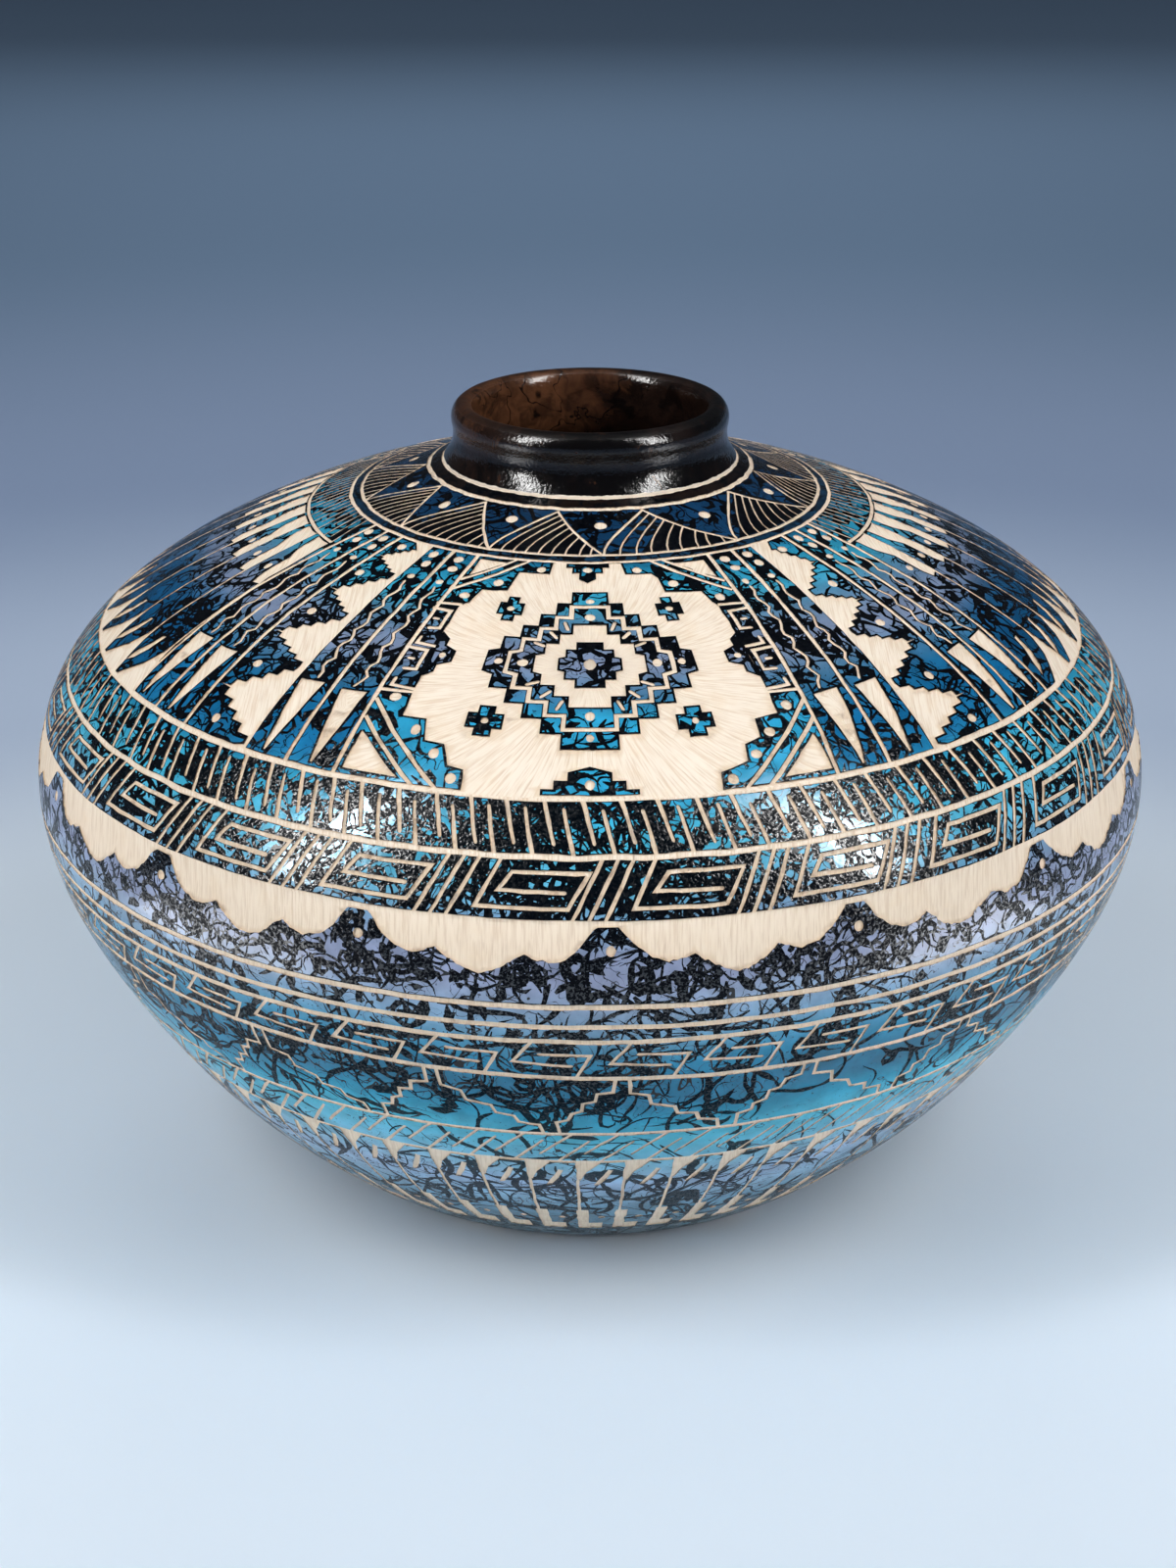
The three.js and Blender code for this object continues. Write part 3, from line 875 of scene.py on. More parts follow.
def triangulate(band, sector, grid):
    """Delaunay triangles of the whole band, cut along every edge between skin, marks and clay."""
    s0, s1 = band.s0, band.s1
    rm = float(radius((s0 + s1) / 2))
    kx = DEG * rm
    rows = max(2, int(round((s1 - s0) * UNIT / grid)))
    srow = [s0 + (s1 - s0) * j / rows for j in range(rows + 1)]
    polys = []
    for role, pts in band.shapes:
        a = np.array(pts)
        lo, hi = a[:, 0].min(), a[:, 0].max()
        polys.append((lo, hi, role, a))
        if lo < -177:
            polys.append((lo + 360, hi + 360, role, a + (360, 0)))
        if hi > 177:
            polys.append((lo - 360, hi - 360, role, a - (360, 0)))
    los = np.array([q[0] for q in polys])
    his = np.array([q[1] for q in polys])
    edges_t = range(-180, 180, sector)
    out_t, out_s, out_f, out_l, out_sec = [], [], [], [], []
    base = 0
    for t0 in edges_t:
        t1 = t0 + sector
        ts = list(range(t0, t1 + 1, 2))
        outline = [(t, s1) for t in ts]
        outline += [(t1, s) for s in srow[::-1][1:]]
        outline += [(t, s0) for t in ts[::-1][1:]]
        outline += [(t0, s) for s in srow[1:-1]]
        flat = lambda q: np.stack([(q[:, 0] - t0) * kx, -q[:, 1] * UNIT], 1)
        within = lambda q: ((q[:, 0] > 0) & (q[:, 0] < sector * kx) & (q[:, 1] > -s1 * UNIT) & (q[:, 1] < -s0 * UNIT))
        m = len(outline)
        blocks = [flat(np.array(outline))]
        cons = [(i, (i + 1) % m) for i in range(m)]
        shapes = []
        for q in np.nonzero((los < t1 + .4) & (his > t0 - .4))[0]:
            a = flat(polys[q][3])
            k = len(a)
            blocks.append(a)
            shapes.append((polys[q][2], a, a.min(0), a.max(0)))
            cons += [(m + i, m + (i + 1) % k) for i in range(k)]
            m += k
        # first through all the shapes, to find the edges where the surface changes
        v, f, mid = cut_up(np.concatenate(blocks), cons)
        keep = within(mid)
        f, mid = f[keep], mid[keep]
        lab = kind_at(mid, shapes)
        ea, eb = f.ravel(), f[:, [1, 2, 0]].ravel()
        key = np.minimum(ea, eb).astype(np.int64) * len(v) + np.maximum(ea, eb)
        order = np.argsort(key, kind="stable")
        key, who = key[order], np.repeat(lab, 3)[order]
        same = np.zeros(len(key), bool)
        pair = (key[1:] == key[:-1]) & (who[1:] == who[:-1])
        same[1:] |= pair
        same[:-1] |= pair
        edge = np.unique(key[~same])
        ea, eb = edge // len(v), edge % len(v)
        used = np.unique(np.concatenate([ea, eb]))
        to = np.full(len(v), -1)
        to[used] = np.arange(len(used))
        # then through those edges only, with a net of points between them
        blocks = [v[used]]
        fill = []
        for j in range(1, rows):
            r = float(radius(srow[j]))
            n = max(1, int(round(sector * DEG * r / grid)))
            for i in range(n):
                f_ = (i + (.75 if j % 2 else .25)) / n
                fill.append((t0 + sector * f_, srow[j]))
        if fill:
            blocks.append(flat(np.array(fill)))
        v, f, mid = cut_up(np.concatenate(blocks), list(zip(to[ea].tolist(), to[eb].tolist())))
        keep = within(mid)
        f, mid = f[keep], mid[keep]
        lab = kind_at(mid, shapes)
        out_t.append(v[:, 0] / kx + t0)
        out_s.append(-v[:, 1] / UNIT)
        out_f.append(f + base)
        out_l.append(lab)
        out_sec.append(np.full(len(f), t0))
        base += len(v)
    return (np.concatenate(out_t), np.concatenate(out_s), np.concatenate(out_f), np.concatenate(out_l),
            np.concatenate(out_sec), list(edges_t))


def weld(t, s, f, lines):
    """One vertex for the two copies of each point on the lines between sectors."""
    n = len(t)
    to = np.arange(n)
    for x in lines[1:] + [180]:
        here = np.nonzero(np.abs(t - x) < 1e-5)[0]
        if x == 180:
            here = np.concatenate([here, np.nonzero(np.abs(t + 180) < 1e-5)[0]])
        here = here[np.argsort(s[here], kind="stable")]
        ss = s[here]
        first = here[0]
        for i in range(1, len(here)):
            if (ss[i] - s[first]) * UNIT < 0.0016:
                to[here[i]] = to[first]
            else:
                first = here[i]
    nf = to[f]
    good = (nf[:, 0] != nf[:, 1]) & (nf[:, 1] != nf[:, 2]) & (nf[:, 0] != nf[:, 2])
    return nf, good


def strip(a, ta, b, tb):
    """Triangles between two closed loops of vertices, sorted by angle."""
    out = []
    na, nb = len(a), len(b)
    i = j = 0
    while i < na or j < nb:
        ua = ta[i + 1] if i + 1 < na else ta[0] + 360
        ub = tb[j + 1] if j + 1 < nb else tb[0] + 360
        if j >= nb or (i < na and ua <= ub):
            out.append((a[(i + 1) % na], a[i % na], b[j % nb]))
            i += 1
        else:
            out.append((b[j % nb], b[(j + 1) % nb], a[i % na]))
            j += 1
    return out


def build_band(band, sector, grid, fold, inner, node, mats, panel_tool=False):
    """Meshes a band, sinks its carved faces, closes it with the wall behind, and maps it."""
    t, s, f, lab, sec, lines = triangulate(band, sector, grid)
    corner_t, corner_s = t[f], s[f]
    nf, good = weld(t, s, f, lines)
    nf, lab, sec, corner_t, corner_s = nf[good], lab[good], sec[good], corner_t[good], corner_s[good]
    n = len(t)
    clay = lab == 2
    top_used = np.zeros(n, bool)
    top_used[nf[~clay].ravel()] = True
    low_used = np.zeros(n, bool)
    low_used[nf[clay].ravel()] = True
    top_id = np.full(n, -1)
    top_id[top_used] = np.arange(top_used.sum())
    low_id = np.full(n, -1)
    low_id[low_used] = np.arange(low_used.sum()) + top_used.sum()
    pt, nt = skin_point(t[top_used], s[top_used])
    # broad fields are cut a little deeper than lines: depth grows away from the edge of the skin
    on_edge = top_used & low_used
    tl, sl = t[low_used], s[low_used]
    deep = np.where(on_edge[low_used], SKIN_CUT, FIELD_CUT)
    p0, _ = skin_point(tl, sl)
    deep = deep * (1 + 0.08 * N_FINE(p0))
    at_end = (np.abs(sl - band.s0) < 1e-6) | (np.abs(sl - band.s1) < 1e-6)
    deep[at_end] = SKIN_CUT
    r, z, nr, nz = profile(sl)
    a = tl * DEG
    rr, zz = r - nr * deep, z - nz * deep
    pl = np.stack([rr * np.sin(a), -rr * np.cos(a), zz], -1)
    nl = np.stack([nr * np.sin(a), -nr * np.cos(a), nz], -1)
    verts = np.concatenate([pt, pl])
    vnorm = np.concatenate([nt, nl])
    vt = np.concatenate([t[top_used], tl])
    vs = np.concatenate([s[top_used], sl])
    tris = np.where(clay[:, None], low_id[nf], top_id[nf])
    # walls between skin and clay
    ca, cb = nf[clay][:, [0, 1, 2]].ravel(), nf[clay][:, [1, 2, 0]].ravel()
    sa, sb = nf[~clay][:, [0, 1, 2]].ravel(), nf[~clay][:, [1, 2, 0]].ravel()
    hit = np.isin(ca.astype(np.int64) * n + cb, sb.astype(np.int64) * n + sa)
    wa, wb = ca[hit], cb[hit]
    walls = np.stack([top_id[wa], top_id[wb], low_id[wb], low_id[wa]], 1)
    # surroundings: end faces and the wall behind
    extra, extra_uv, extra_mat = [], [], []
    m0 = len(verts)
    def loop_at(sv):
        low = np.nonzero((np.abs(s - sv) < 1e-7) & (low_used | top_used))[0]
        ids = np.array([low_id[i] if low_used[i] else top_id[i] for i in low])
        rep_of = {}
        for i, q in zip(low, ids):
            rep_of.setdefault(int(q), t[i])
        items = sorted((tt if tt < 179.9999 else tt - 360, q) for q, tt in rep_of.items())
        return [q for _, q in items], [tt for tt, _ in items]
    bottom, tb = loop_at(band.s1)
    top, tt_ = loop_at(band.s0)
    na = 120
    angs = [-180 + 360 * i / na for i in range(na)]
    loops = [(bottom, tb)]
    add = []
    for (ri, zi) in inner:
        ids = []
        for an in angs:
            x = an * DEG
            ids.append(m0 + len(add))
            add.append((ri * math.sin(x), -ri * math.cos(x), zi))
        loops.append((ids, angs))
    loops.append((top, tt_))
    for k in range(len(loops) - 1):
        (ia, aa), (ib, ab) = loops[k], loops[k + 1]
        for tri in strip(ia, aa, ib, ab):
            extra.append(tri)
            extra_mat.append(4)
            extra_uv.append(k)
    verts = np.concatenate([verts, np.array(add)])
    vnorm = np.concatenate([vnorm, np.zeros((len(add), 3))])
    vt = np.concatenate([vt, np.zeros(len(add))])
    vs = np.concatenate([vs, np.zeros(len(add))])
    nloops = len(inner) + 1
    # ---- mesh
    me = bpy.data.meshes.new(band.name)
    nt3, nw = len(tris), len(walls)
    ext = np.array(extra, int).reshape(-1, 3)
    loops_v = np.concatenate([tris.ravel(), walls.ravel(), ext.ravel()])
    starts = np.concatenate([np.arange(nt3) * 3, nt3 * 3 + np.arange(nw) * 4, nt3 * 3 + nw * 4 + np.arange(len(ext)) * 3])
    me.vertices.add(len(verts))
    me.vertices.foreach_set("co", (verts * 0.001).astype(np.float32).ravel())
    me.loops.add(len(loops_v))
    me.loops.foreach_set("vertex_index", loops_v.astype(np.int32))
    me.polygons.add(len(starts))
    me.polygons.foreach_set("loop_start", starts.astype(np.int32))
    mat = np.concatenate([lab, np.full(nw, 3), np.full(len(ext), 4)])
    me.polygons.foreach_set("material_index", mat.astype(np.int32))
    me.update(calc_edges=True)
    # ---- normals: the true surface on skin and clay, flat on the walls
    me.polygons.foreach_set("use_smooth", np.ones(len(starts), bool))
    pn = np.zeros(len(starts) * 3, np.float32)
    me.polygons.foreach_get("normal", pn)
    pn = pn.reshape(-1, 3)
    ln = np.zeros((len(loops_v), 3), np.float32)
    ln[:nt3 * 3] = vnorm[tris.ravel()]
    ln[nt3 * 3:nt3 * 3 + nw * 4] = np.repeat(pn[nt3:nt3 + nw], 4, axis=0)
    ln[nt3 * 3 + nw * 4:] = np.repeat(pn[nt3 + nw:], 3, axis=0)
    me.normals_split_custom_set(ln)
    # ---- colours and tool directions
    col = np.ones((len(verts), 4), np.float32)
    col[:, :3] = paint_colour(vt, vs, verts)
    at = me.color_attributes.new("paint", "FLOAT_COLOR", "POINT")
    at.data.foreach_set("color", col.ravel())
    # r: how much smoke lies there, g: 1 inside a carved field and 0 at its edges and in narrow lines, where the clay
    # gets soil and painted shade
    mark = np.ones((len(verts), 4), np.float32)
    mark[:, 0] = hair_cover(vt, vs)
    away_from_edge = np.ones(len(verts))
    k0 = int(top_used.sum())
    away_from_edge[k0:k0 + int(low_used.sum())] = ~on_edge[low_used]
    mark[:, 1] = away_from_edge
    at = me.color_attributes.new("marks", "FLOAT_COLOR", "POINT")
    at.data.foreach_set("color", mark.ravel())
    tool = np.zeros((len(verts), 3), np.float32)
    rr = radius(vs)
    if panel_tool:
        tt = (vt + 180) % 360 - 180
        ct = np.round(tt / 180) * 180
        mid = np.abs(tt - ct) < 30
        tool[:, 0] = np.where(mid, (tt - ct) * DEG * radius(np.full(len(vs), .43)), vt * DEG * rr)
        tool[:, 1] = (vs - .43) * UNIT
        tool[:, 2] = mid
    else:
        tool[:, 0] = vt * DEG * rr
        tool[:, 1] = vs * UNIT
    at = me.attributes.new("tool", "FLOAT_VECTOR", "POINT")
    at.data.foreach_set("vector", tool.ravel())
    # ---- map: the band folded into rows, with small places for cut edges and the wall behind
    span = 360 / fold
    row = np.floor((sec + 180 + 1e-6) / span)
    row = np.repeat(row, 3)
    base = -180 + row * span
    vh = .90 / fold
    u = .006 + (corner_t.ravel() - base) / span * .988
    v = .092 + row * vh + (corner_s.ravel() - band.s0) / (band.s1 - band.s0) * vh * .955
    uv = np.zeros((len(loops_v), 2), np.float32)
    uv[:nt3 * 3, 0], uv[:nt3 * 3, 1] = u, v
    uv[nt3 * 3:nt3 * 3 + nw * 4] = np.tile(np.array([(.02, .066), (.05, .066), (.05, .08), (.02, .08)], np.float32), (nw, 1))
    if len(ext):
        q0 = nt3 * 3 + nw * 4
        va = np.zeros(len(ext) * 3)
        ks = np.repeat(np.array(extra_uv), 3)
        ids = ext.ravel()
        ang = np.degrees(np.arctan2(verts[ids][:, 0], -verts[ids][:, 1]))
        a3 = ang.reshape(-1, 3)
        ref = a3[:, :1]
        a3 = ref + (a3 - ref + 180) % 360 - 180
        a3 = np.where(a3.mean(1, keepdims=True) > 180, a3 - 360, a3)
        a3 = np.where(a3.mean(1, keepdims=True) < -180, a3 + 360, a3)
        # which loop each corner lies on
        loop_no = np.zeros(len(verts))
        for k, (idl, _) in enumerate(loops):
            if 0 < k < len(loops) - 1:
                loop_no[idl] = k
        lv = loop_no[ids]
        lv = np.where(ids >= m0, lv, np.where(ks == 0, 0, nloops))
        uv[q0:, 0] = np.clip(.006 + (a3.ravel() + 180) / 360 * .988, 0.001, .999)
        uv[q0:, 1] = .004 + lv / nloops * .052
    ul = me.uv_layers.new(name="OFBake")
    ul.data.foreach_set("uv", uv.ravel())
    for m in mats:
        me.materials.append(m)
    me.validate(clean_customdata=False)
    ob = bpy.data.objects.new(band.name, me)
    bpy.context.scene.collection.objects.link(ob)
    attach(ob, "root")
    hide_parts(node)
    return ob


# ------------------------------------------------------------------ materials
class Tree:
    def __init__(self, name):
        self.mat = bpy.data.materials.new(name)
        self.mat.use_nodes = True
        self.nt = self.mat.node_tree
        self.nt.nodes.clear()
        self.out = self.nt.nodes.new("ShaderNodeOutputMaterial")
        self.bsdf = self.nt.nodes.new("ShaderNodeBsdfPrincipled")
        self.nt.links.new(self.bsdf.outputs[0], self.out.inputs["Surface"])

    def add(self, kind, ins=None, **props):
        n = self.nt.nodes.new("ShaderNode" + kind)
        for k, v in props.items():
            setattr(n, k, v)
        for k, v in (ins or {}).items():
            self.set(n.inputs[k], v)
        return n

    def set(self, socket, v):
        if isinstance(v, bpy.types.NodeSocket):
            self.nt.links.new(v, socket)
        else:
            socket.default_value = v

    def math(self, op, a, b=0.0, c=0.0, clamp=False):
        n = self.add("Math", operation=op, use_clamp=clamp)
        self.set(n.inputs[0], a)
        self.set(n.inputs[1], b)
        self.set(n.inputs[2], c)
        return n.outputs[0]

    def span(self, x, a, b, c=0.0, d=1.0):
        n = self.add("MapRange", clamp=True, interpolation_type="SMOOTHSTEP")
        self.set(n.inputs["Value"], x)
        self.set(n.inputs["From Min"], a)
        self.set(n.inputs["From Max"], b)
        self.set(n.inputs["To Min"], c)
        self.set(n.inputs["To Max"], d)
        return n.outputs[0]

    def mix(self, f, a, b, blend="MIX"):
        n = self.add("Mix", data_type="RGBA", blend_type=blend)
        self.set(n.inputs[0], f)
        self.set(n.inputs[6], a)
        self.set(n.inputs[7], b)
        return n.outputs[2]

    def object_mm(self, scale=1000.0, stretch=None):
        c = self.add("TexCoord")
        m = self.add("Mapping")
        self.set(m.inputs["Vector"], c.outputs["Object"])
        m.inputs["Scale"].default_value = stretch or (scale, scale, scale)
        return m.outputs[0]

    def noise(self, vec, size, detail=2.0, rough=0.5, distortion=0.0, dims="3D", w=None):
        n = self.add("TexNoise", noise_dimensions=dims)
        if vec is not None:
            self.set(n.inputs["Vector"], vec)
        n.inputs["Scale"].default_value = 1.0 / size
        n.inputs["Detail"].default_value = detail
        n.inputs["Roughness"].default_value = rough
        n.inputs["Distortion"].default_value = distortion
        return n

    def bump(self, height, dist_mm, strength=1.0, normal=None):
        n = self.add("Bump")
        self.set(n.inputs["Height"], height)
        n.inputs["Distance"].default_value = dist_mm * 0.001
        n.inputs["Strength"].default_value = strength
        if normal is not None:
            self.set(n.inputs["Normal"], normal)
        return n.outputs[0]


def lin(r, g, b):
    c = srgb((r, g, b))
    return (float(c[0]), float(c[1]), float(c[2]), 1.0)


def height_mm(m):
    """The height above the foot, in mm."""
    sep = m.add("SeparateXYZ")
    m.set(sep.inputs[0], m.object_mm())
    return sep.outputs[2]


def skin_material():
    m = Tree("painted_skin")
    mm = m.object_mm()
    paint = m.add("Attribute", attribute_name="paint", attribute_type="GEOMETRY").outputs["Color"]
    sep = m.add("SeparateColor")
    m.set(sep.inputs[0], m.add("Attribute", attribute_name="marks", attribute_type="GEOMETRY").outputs["Color"])
    soot = sep.outputs[0]
    # tone wanders, as sprayed colour over burnished clay does
    tone = m.noise(mm, 6.0, 3.0, .6).outputs["Fac"]
    col = m.mix(1.0, paint, m.span(tone, .3, .7, .84, 1.14), "MULTIPLY")
    # finer hairs between the thick ones: thin level lines of two wandering fields
    patch = m.noise(mm, 13.0, 2.0, .5).outputs["Fac"]
    reach = m.math("ADD", patch, m.math("MULTIPLY", m.math("SUBTRACT", soot, .4), .5))
    wide = m.span(reach, .40, .72, 0.0, .017)
    one = m.noise(mm, 6.0, 1.0, .4, .6).outputs["Fac"]
    two = m.noise(m.object_mm(stretch=(950, 1040, 1100)), 4.2, 1.0, .4, 1.0).outputs["Fac"]
    l1 = m.math("LESS_THAN", m.math("ABSOLUTE", m.math("SUBTRACT", one, .47)), wide)
    l2 = m.math("LESS_THAN", m.math("ABSOLUTE", m.math("SUBTRACT", two, .53)), m.math("MULTIPLY", wide, .75))
    smoke = m.math("MAXIMUM", l1, l2)
    col = m.mix(smoke, col, lin(9, 9, 13))
    # specks
    speck = m.span(m.noise(mm, .9, 1.0, .5).outputs["Fac"], .70, .74)
    col = m.mix(m.math("MULTIPLY", speck, .7), col, lin(14, 13, 18))
    m.set(m.bsdf.inputs["Base Color"], col)
    rough = m.span(m.noise(mm, 3.0, 3.0, .6).outputs["Fac"], .3, .7, .13, .24)
    m.set(m.bsdf.inputs["Roughness"], rough)
    z = height_mm(m)
    m.set(m.bsdf.inputs["Specular IOR Level"],
          m.math("MULTIPLY", m.span(z, 64.0, 92.0, .3, 1.0), m.span(z, 124.0, 142.0, .6, .42)))
    fine = m.noise(mm, .8, 2.0, .6).outputs["Fac"]
    turn = m.noise(m.object_mm(stretch=(70, 70, 2200)), 1.0, 2.0, .5).outputs["Fac"]
    b1 = m.bump(fine, .035, .8)
    b2 = m.bump(turn, .02, .8, b1)
    b3 = m.bump(m.noise(mm, 9.0, 2.0, .5).outputs["Fac"], .25, .5, b2)
    m.set(m.bsdf.inputs["Normal"], b3)
    return m.mat


def soot_and_shade_material():
    # this material colours the smoke marks and also the painted shade along the carved edges
    m = Tree("horsehair_soot_and_edge_shade")
    mm = m.object_mm()
    n = m.noise(mm, 1.6, 3.0, .6).outputs["Fac"]
    col = m.mix(m.span(n, .35, .7), lin(2, 3, 7), lin(7, 10, 15))
    # low on the jar more of the colour lies over the marks
    paint = m.add("Attribute", attribute_name="paint", attribute_type="GEOMETRY").outputs["Color"]
    z = height_mm(m)
    col = m.mix(m.span(z, 20.0, 105.0, .09, .003), col, paint)
    m.set(m.bsdf.inputs["Base Color"], col)
    m.set(m.bsdf.inputs["Roughness"], m.span(m.noise(mm, 1.2, 2.0, .6).outputs["Fac"], .3, .7, .14, .25))
    # the burned marks are dull, with small glossy grains
    grain = m.noise(mm, .6, 2.0, .6).outputs["Fac"]
    shine = m.math("MULTIPLY", m.span(grain, .48, .60, .06, .8), m.span(z, 64.0, 90.0, .16, 1.0))
    m.set(m.bsdf.inputs["Specular IOR Level"], shine)
    b1 = m.bump(grain, .16, .9)
    b2 = m.bump(m.noise(mm, 2.4, 2.0, .5).outputs["Fac"], .28, .6, b1)
    m.set(m.bsdf.inputs["Normal"], b2)
    return m.mat


def clay_material():
    m = Tree("carved_clay")
    mm = m.object_mm()
    tool = m.add("Attribute", attribute_name="tool", attribute_type="GEOMETRY").outputs["Vector"]
    sep = m.add("SeparateXYZ")
    m.set(sep.inputs[0], tool)
    x, y, mode = sep.outputs[0], sep.outputs[1], sep.outputs[2]
    marks_rgb = m.add("SeparateColor")
    m.set(marks_rgb.inputs[0], m.add("Attribute", attribute_name="marks", attribute_type="GEOMETRY").outputs["Color"])
    away_from_edge = marks_rgb.outputs[1]
    ang = m.math("MULTIPLY", m.math("ARCTAN2", y, x), 34.0)
    across = m.add("Mix", data_type="FLOAT")
    m.set(across.inputs[0], m.math("GREATER_THAN", mode, .5))
    m.set(across.inputs[2], x)
    m.set(across.inputs[3], ang)
    rad = m.math("SQRT", m.math("ADD", m.math("MULTIPLY", x, x), m.math("MULTIPLY", y, y)))
    along = m.add("Mix", data_type="FLOAT")
    m.set(along.inputs[0], m.math("GREATER_THAN", mode, .5))
    m.set(along.inputs[2], y)
    m.set(along.inputs[3], rad)
    vec = m.add("CombineXYZ")
    m.set(vec.inputs[0], across.outputs[0])
    m.set(vec.inputs[1], m.math("MULTIPLY", along.outputs[0], .06))
    marks = m.noise(vec.outputs[0], .5, 2.0, .6).outputs["Fac"]
    broad = m.noise(vec.outputs[0], 2.2, 2.0, .5).outputs["Fac"]
    groove = m.noise(vec.outputs[0], .34, 1.0, .5).outputs["Fac"]
    z = height_mm(m)
    # painted light: higher up, where the jar's top takes more light, the clay is painted paler and cooler
    clay_with_painted_light = m.mix(m.span(z, 104.0, 116.0), lin(244, 226, 203), lin(247, 234, 217))
    col = m.mix(m.span(marks, .30, .58, .85, 0.0), clay_with_painted_light, lin(226, 204, 178))
    col = m.mix(m.span(groove, .30, .40, .34, 0.0), col, lin(204, 178, 148))
    stain = m.noise(mm, 7.0, 3.0, .6).outputs["Fac"]
    col = m.mix(m.span(stain, .5, .8, 0.0, .3), col, lin(236, 210, 176))
    # soil and painted shade: the clay is darkened toward brown along the edges of carved fields and in narrow lines,
    # less so low and high on the jar
    soil_and_shade_noise = m.noise(mm, 2.6, 3.0, .6).outputs["Fac"]
    soil_and_shade = m.mix(m.span(soil_and_shade_noise, .48, .74), lin(228, 206, 178), lin(166, 134, 104))
    keep = m.math("ADD", away_from_edge, m.math("MULTIPLY", m.math("SUBTRACT", soil_and_shade_noise, .5), .5))
    soil_and_shade_amount = m.math("MULTIPLY", m.span(z, 88.0, 101.0, .34, 1.0), m.span(z, 132.0, 146.0, 1.0, .2))
    col = m.mix(m.math("MULTIPLY", m.span(keep, .12, .62, .75, 0.0), soil_and_shade_amount), col, soil_and_shade)
    m.set(m.bsdf.inputs["Base Color"], col)
    m.bsdf.inputs["Specular IOR Level"].default_value = .2
    m.set(m.bsdf.inputs["Roughness"], m.span(stain, .2, .8, .75, .92))
    b1 = m.bump(marks, .16, .9)
    b2 = m.bump(broad, .25, .5, b1)
    b3 = m.bump(m.noise(mm, .45, 1.0, .5).outputs["Fac"], .03, .7, b2)
    m.set(m.bsdf.inputs["Normal"], b3)
    return m.mat


def edge_material():
    m = Tree("cut_edge")
    mm = m.object_mm()
    n = m.noise(mm, 1.5, 2.0, .5).outputs["Fac"]
    z = height_mm(m)
    # soil and painted shade in the cuts: the walls are painted dark brown, less so low and high on the jar
    wall_soil_and_shade = m.math("MULTIPLY", m.span(z, 88.0, 101.0, .55, 1.0), m.span(z, 132.0, 146.0, 1.0, .3))
    fresh = m.mix(m.span(n, .32, .55), lin(176, 158, 138), lin(232, 216, 196))
    m.set(m.bsdf.inputs["Base Color"], m.mix(wall_soil_and_shade, fresh, m.mix(m.span(n, .32, .55), lin(92, 70, 54), lin(204, 180, 150))))
    m.bsdf.inputs["Roughness"].default_value = .8
    return m.mat


def inside_material():
    m = Tree("smoked_inside")
    mm = m.object_mm()
    n = m.noise(mm, 11.0, 4.0, .6).outputs["Fac"]
    col = m.mix(m.span(n, .35, .65), lin(34, 24, 20), lin(98, 66, 46))
    m.set(m.bsdf.inputs["Base Color"], col)
    m.set(m.bsdf.inputs["Roughness"], m.span(n, .3, .7, .55, .8))
    m.set(m.bsdf.inputs["Normal"], m.bump(m.noise(mm, 1.2, 3.0, .6).outputs["Fac"], .15, .7))
    return m.mat


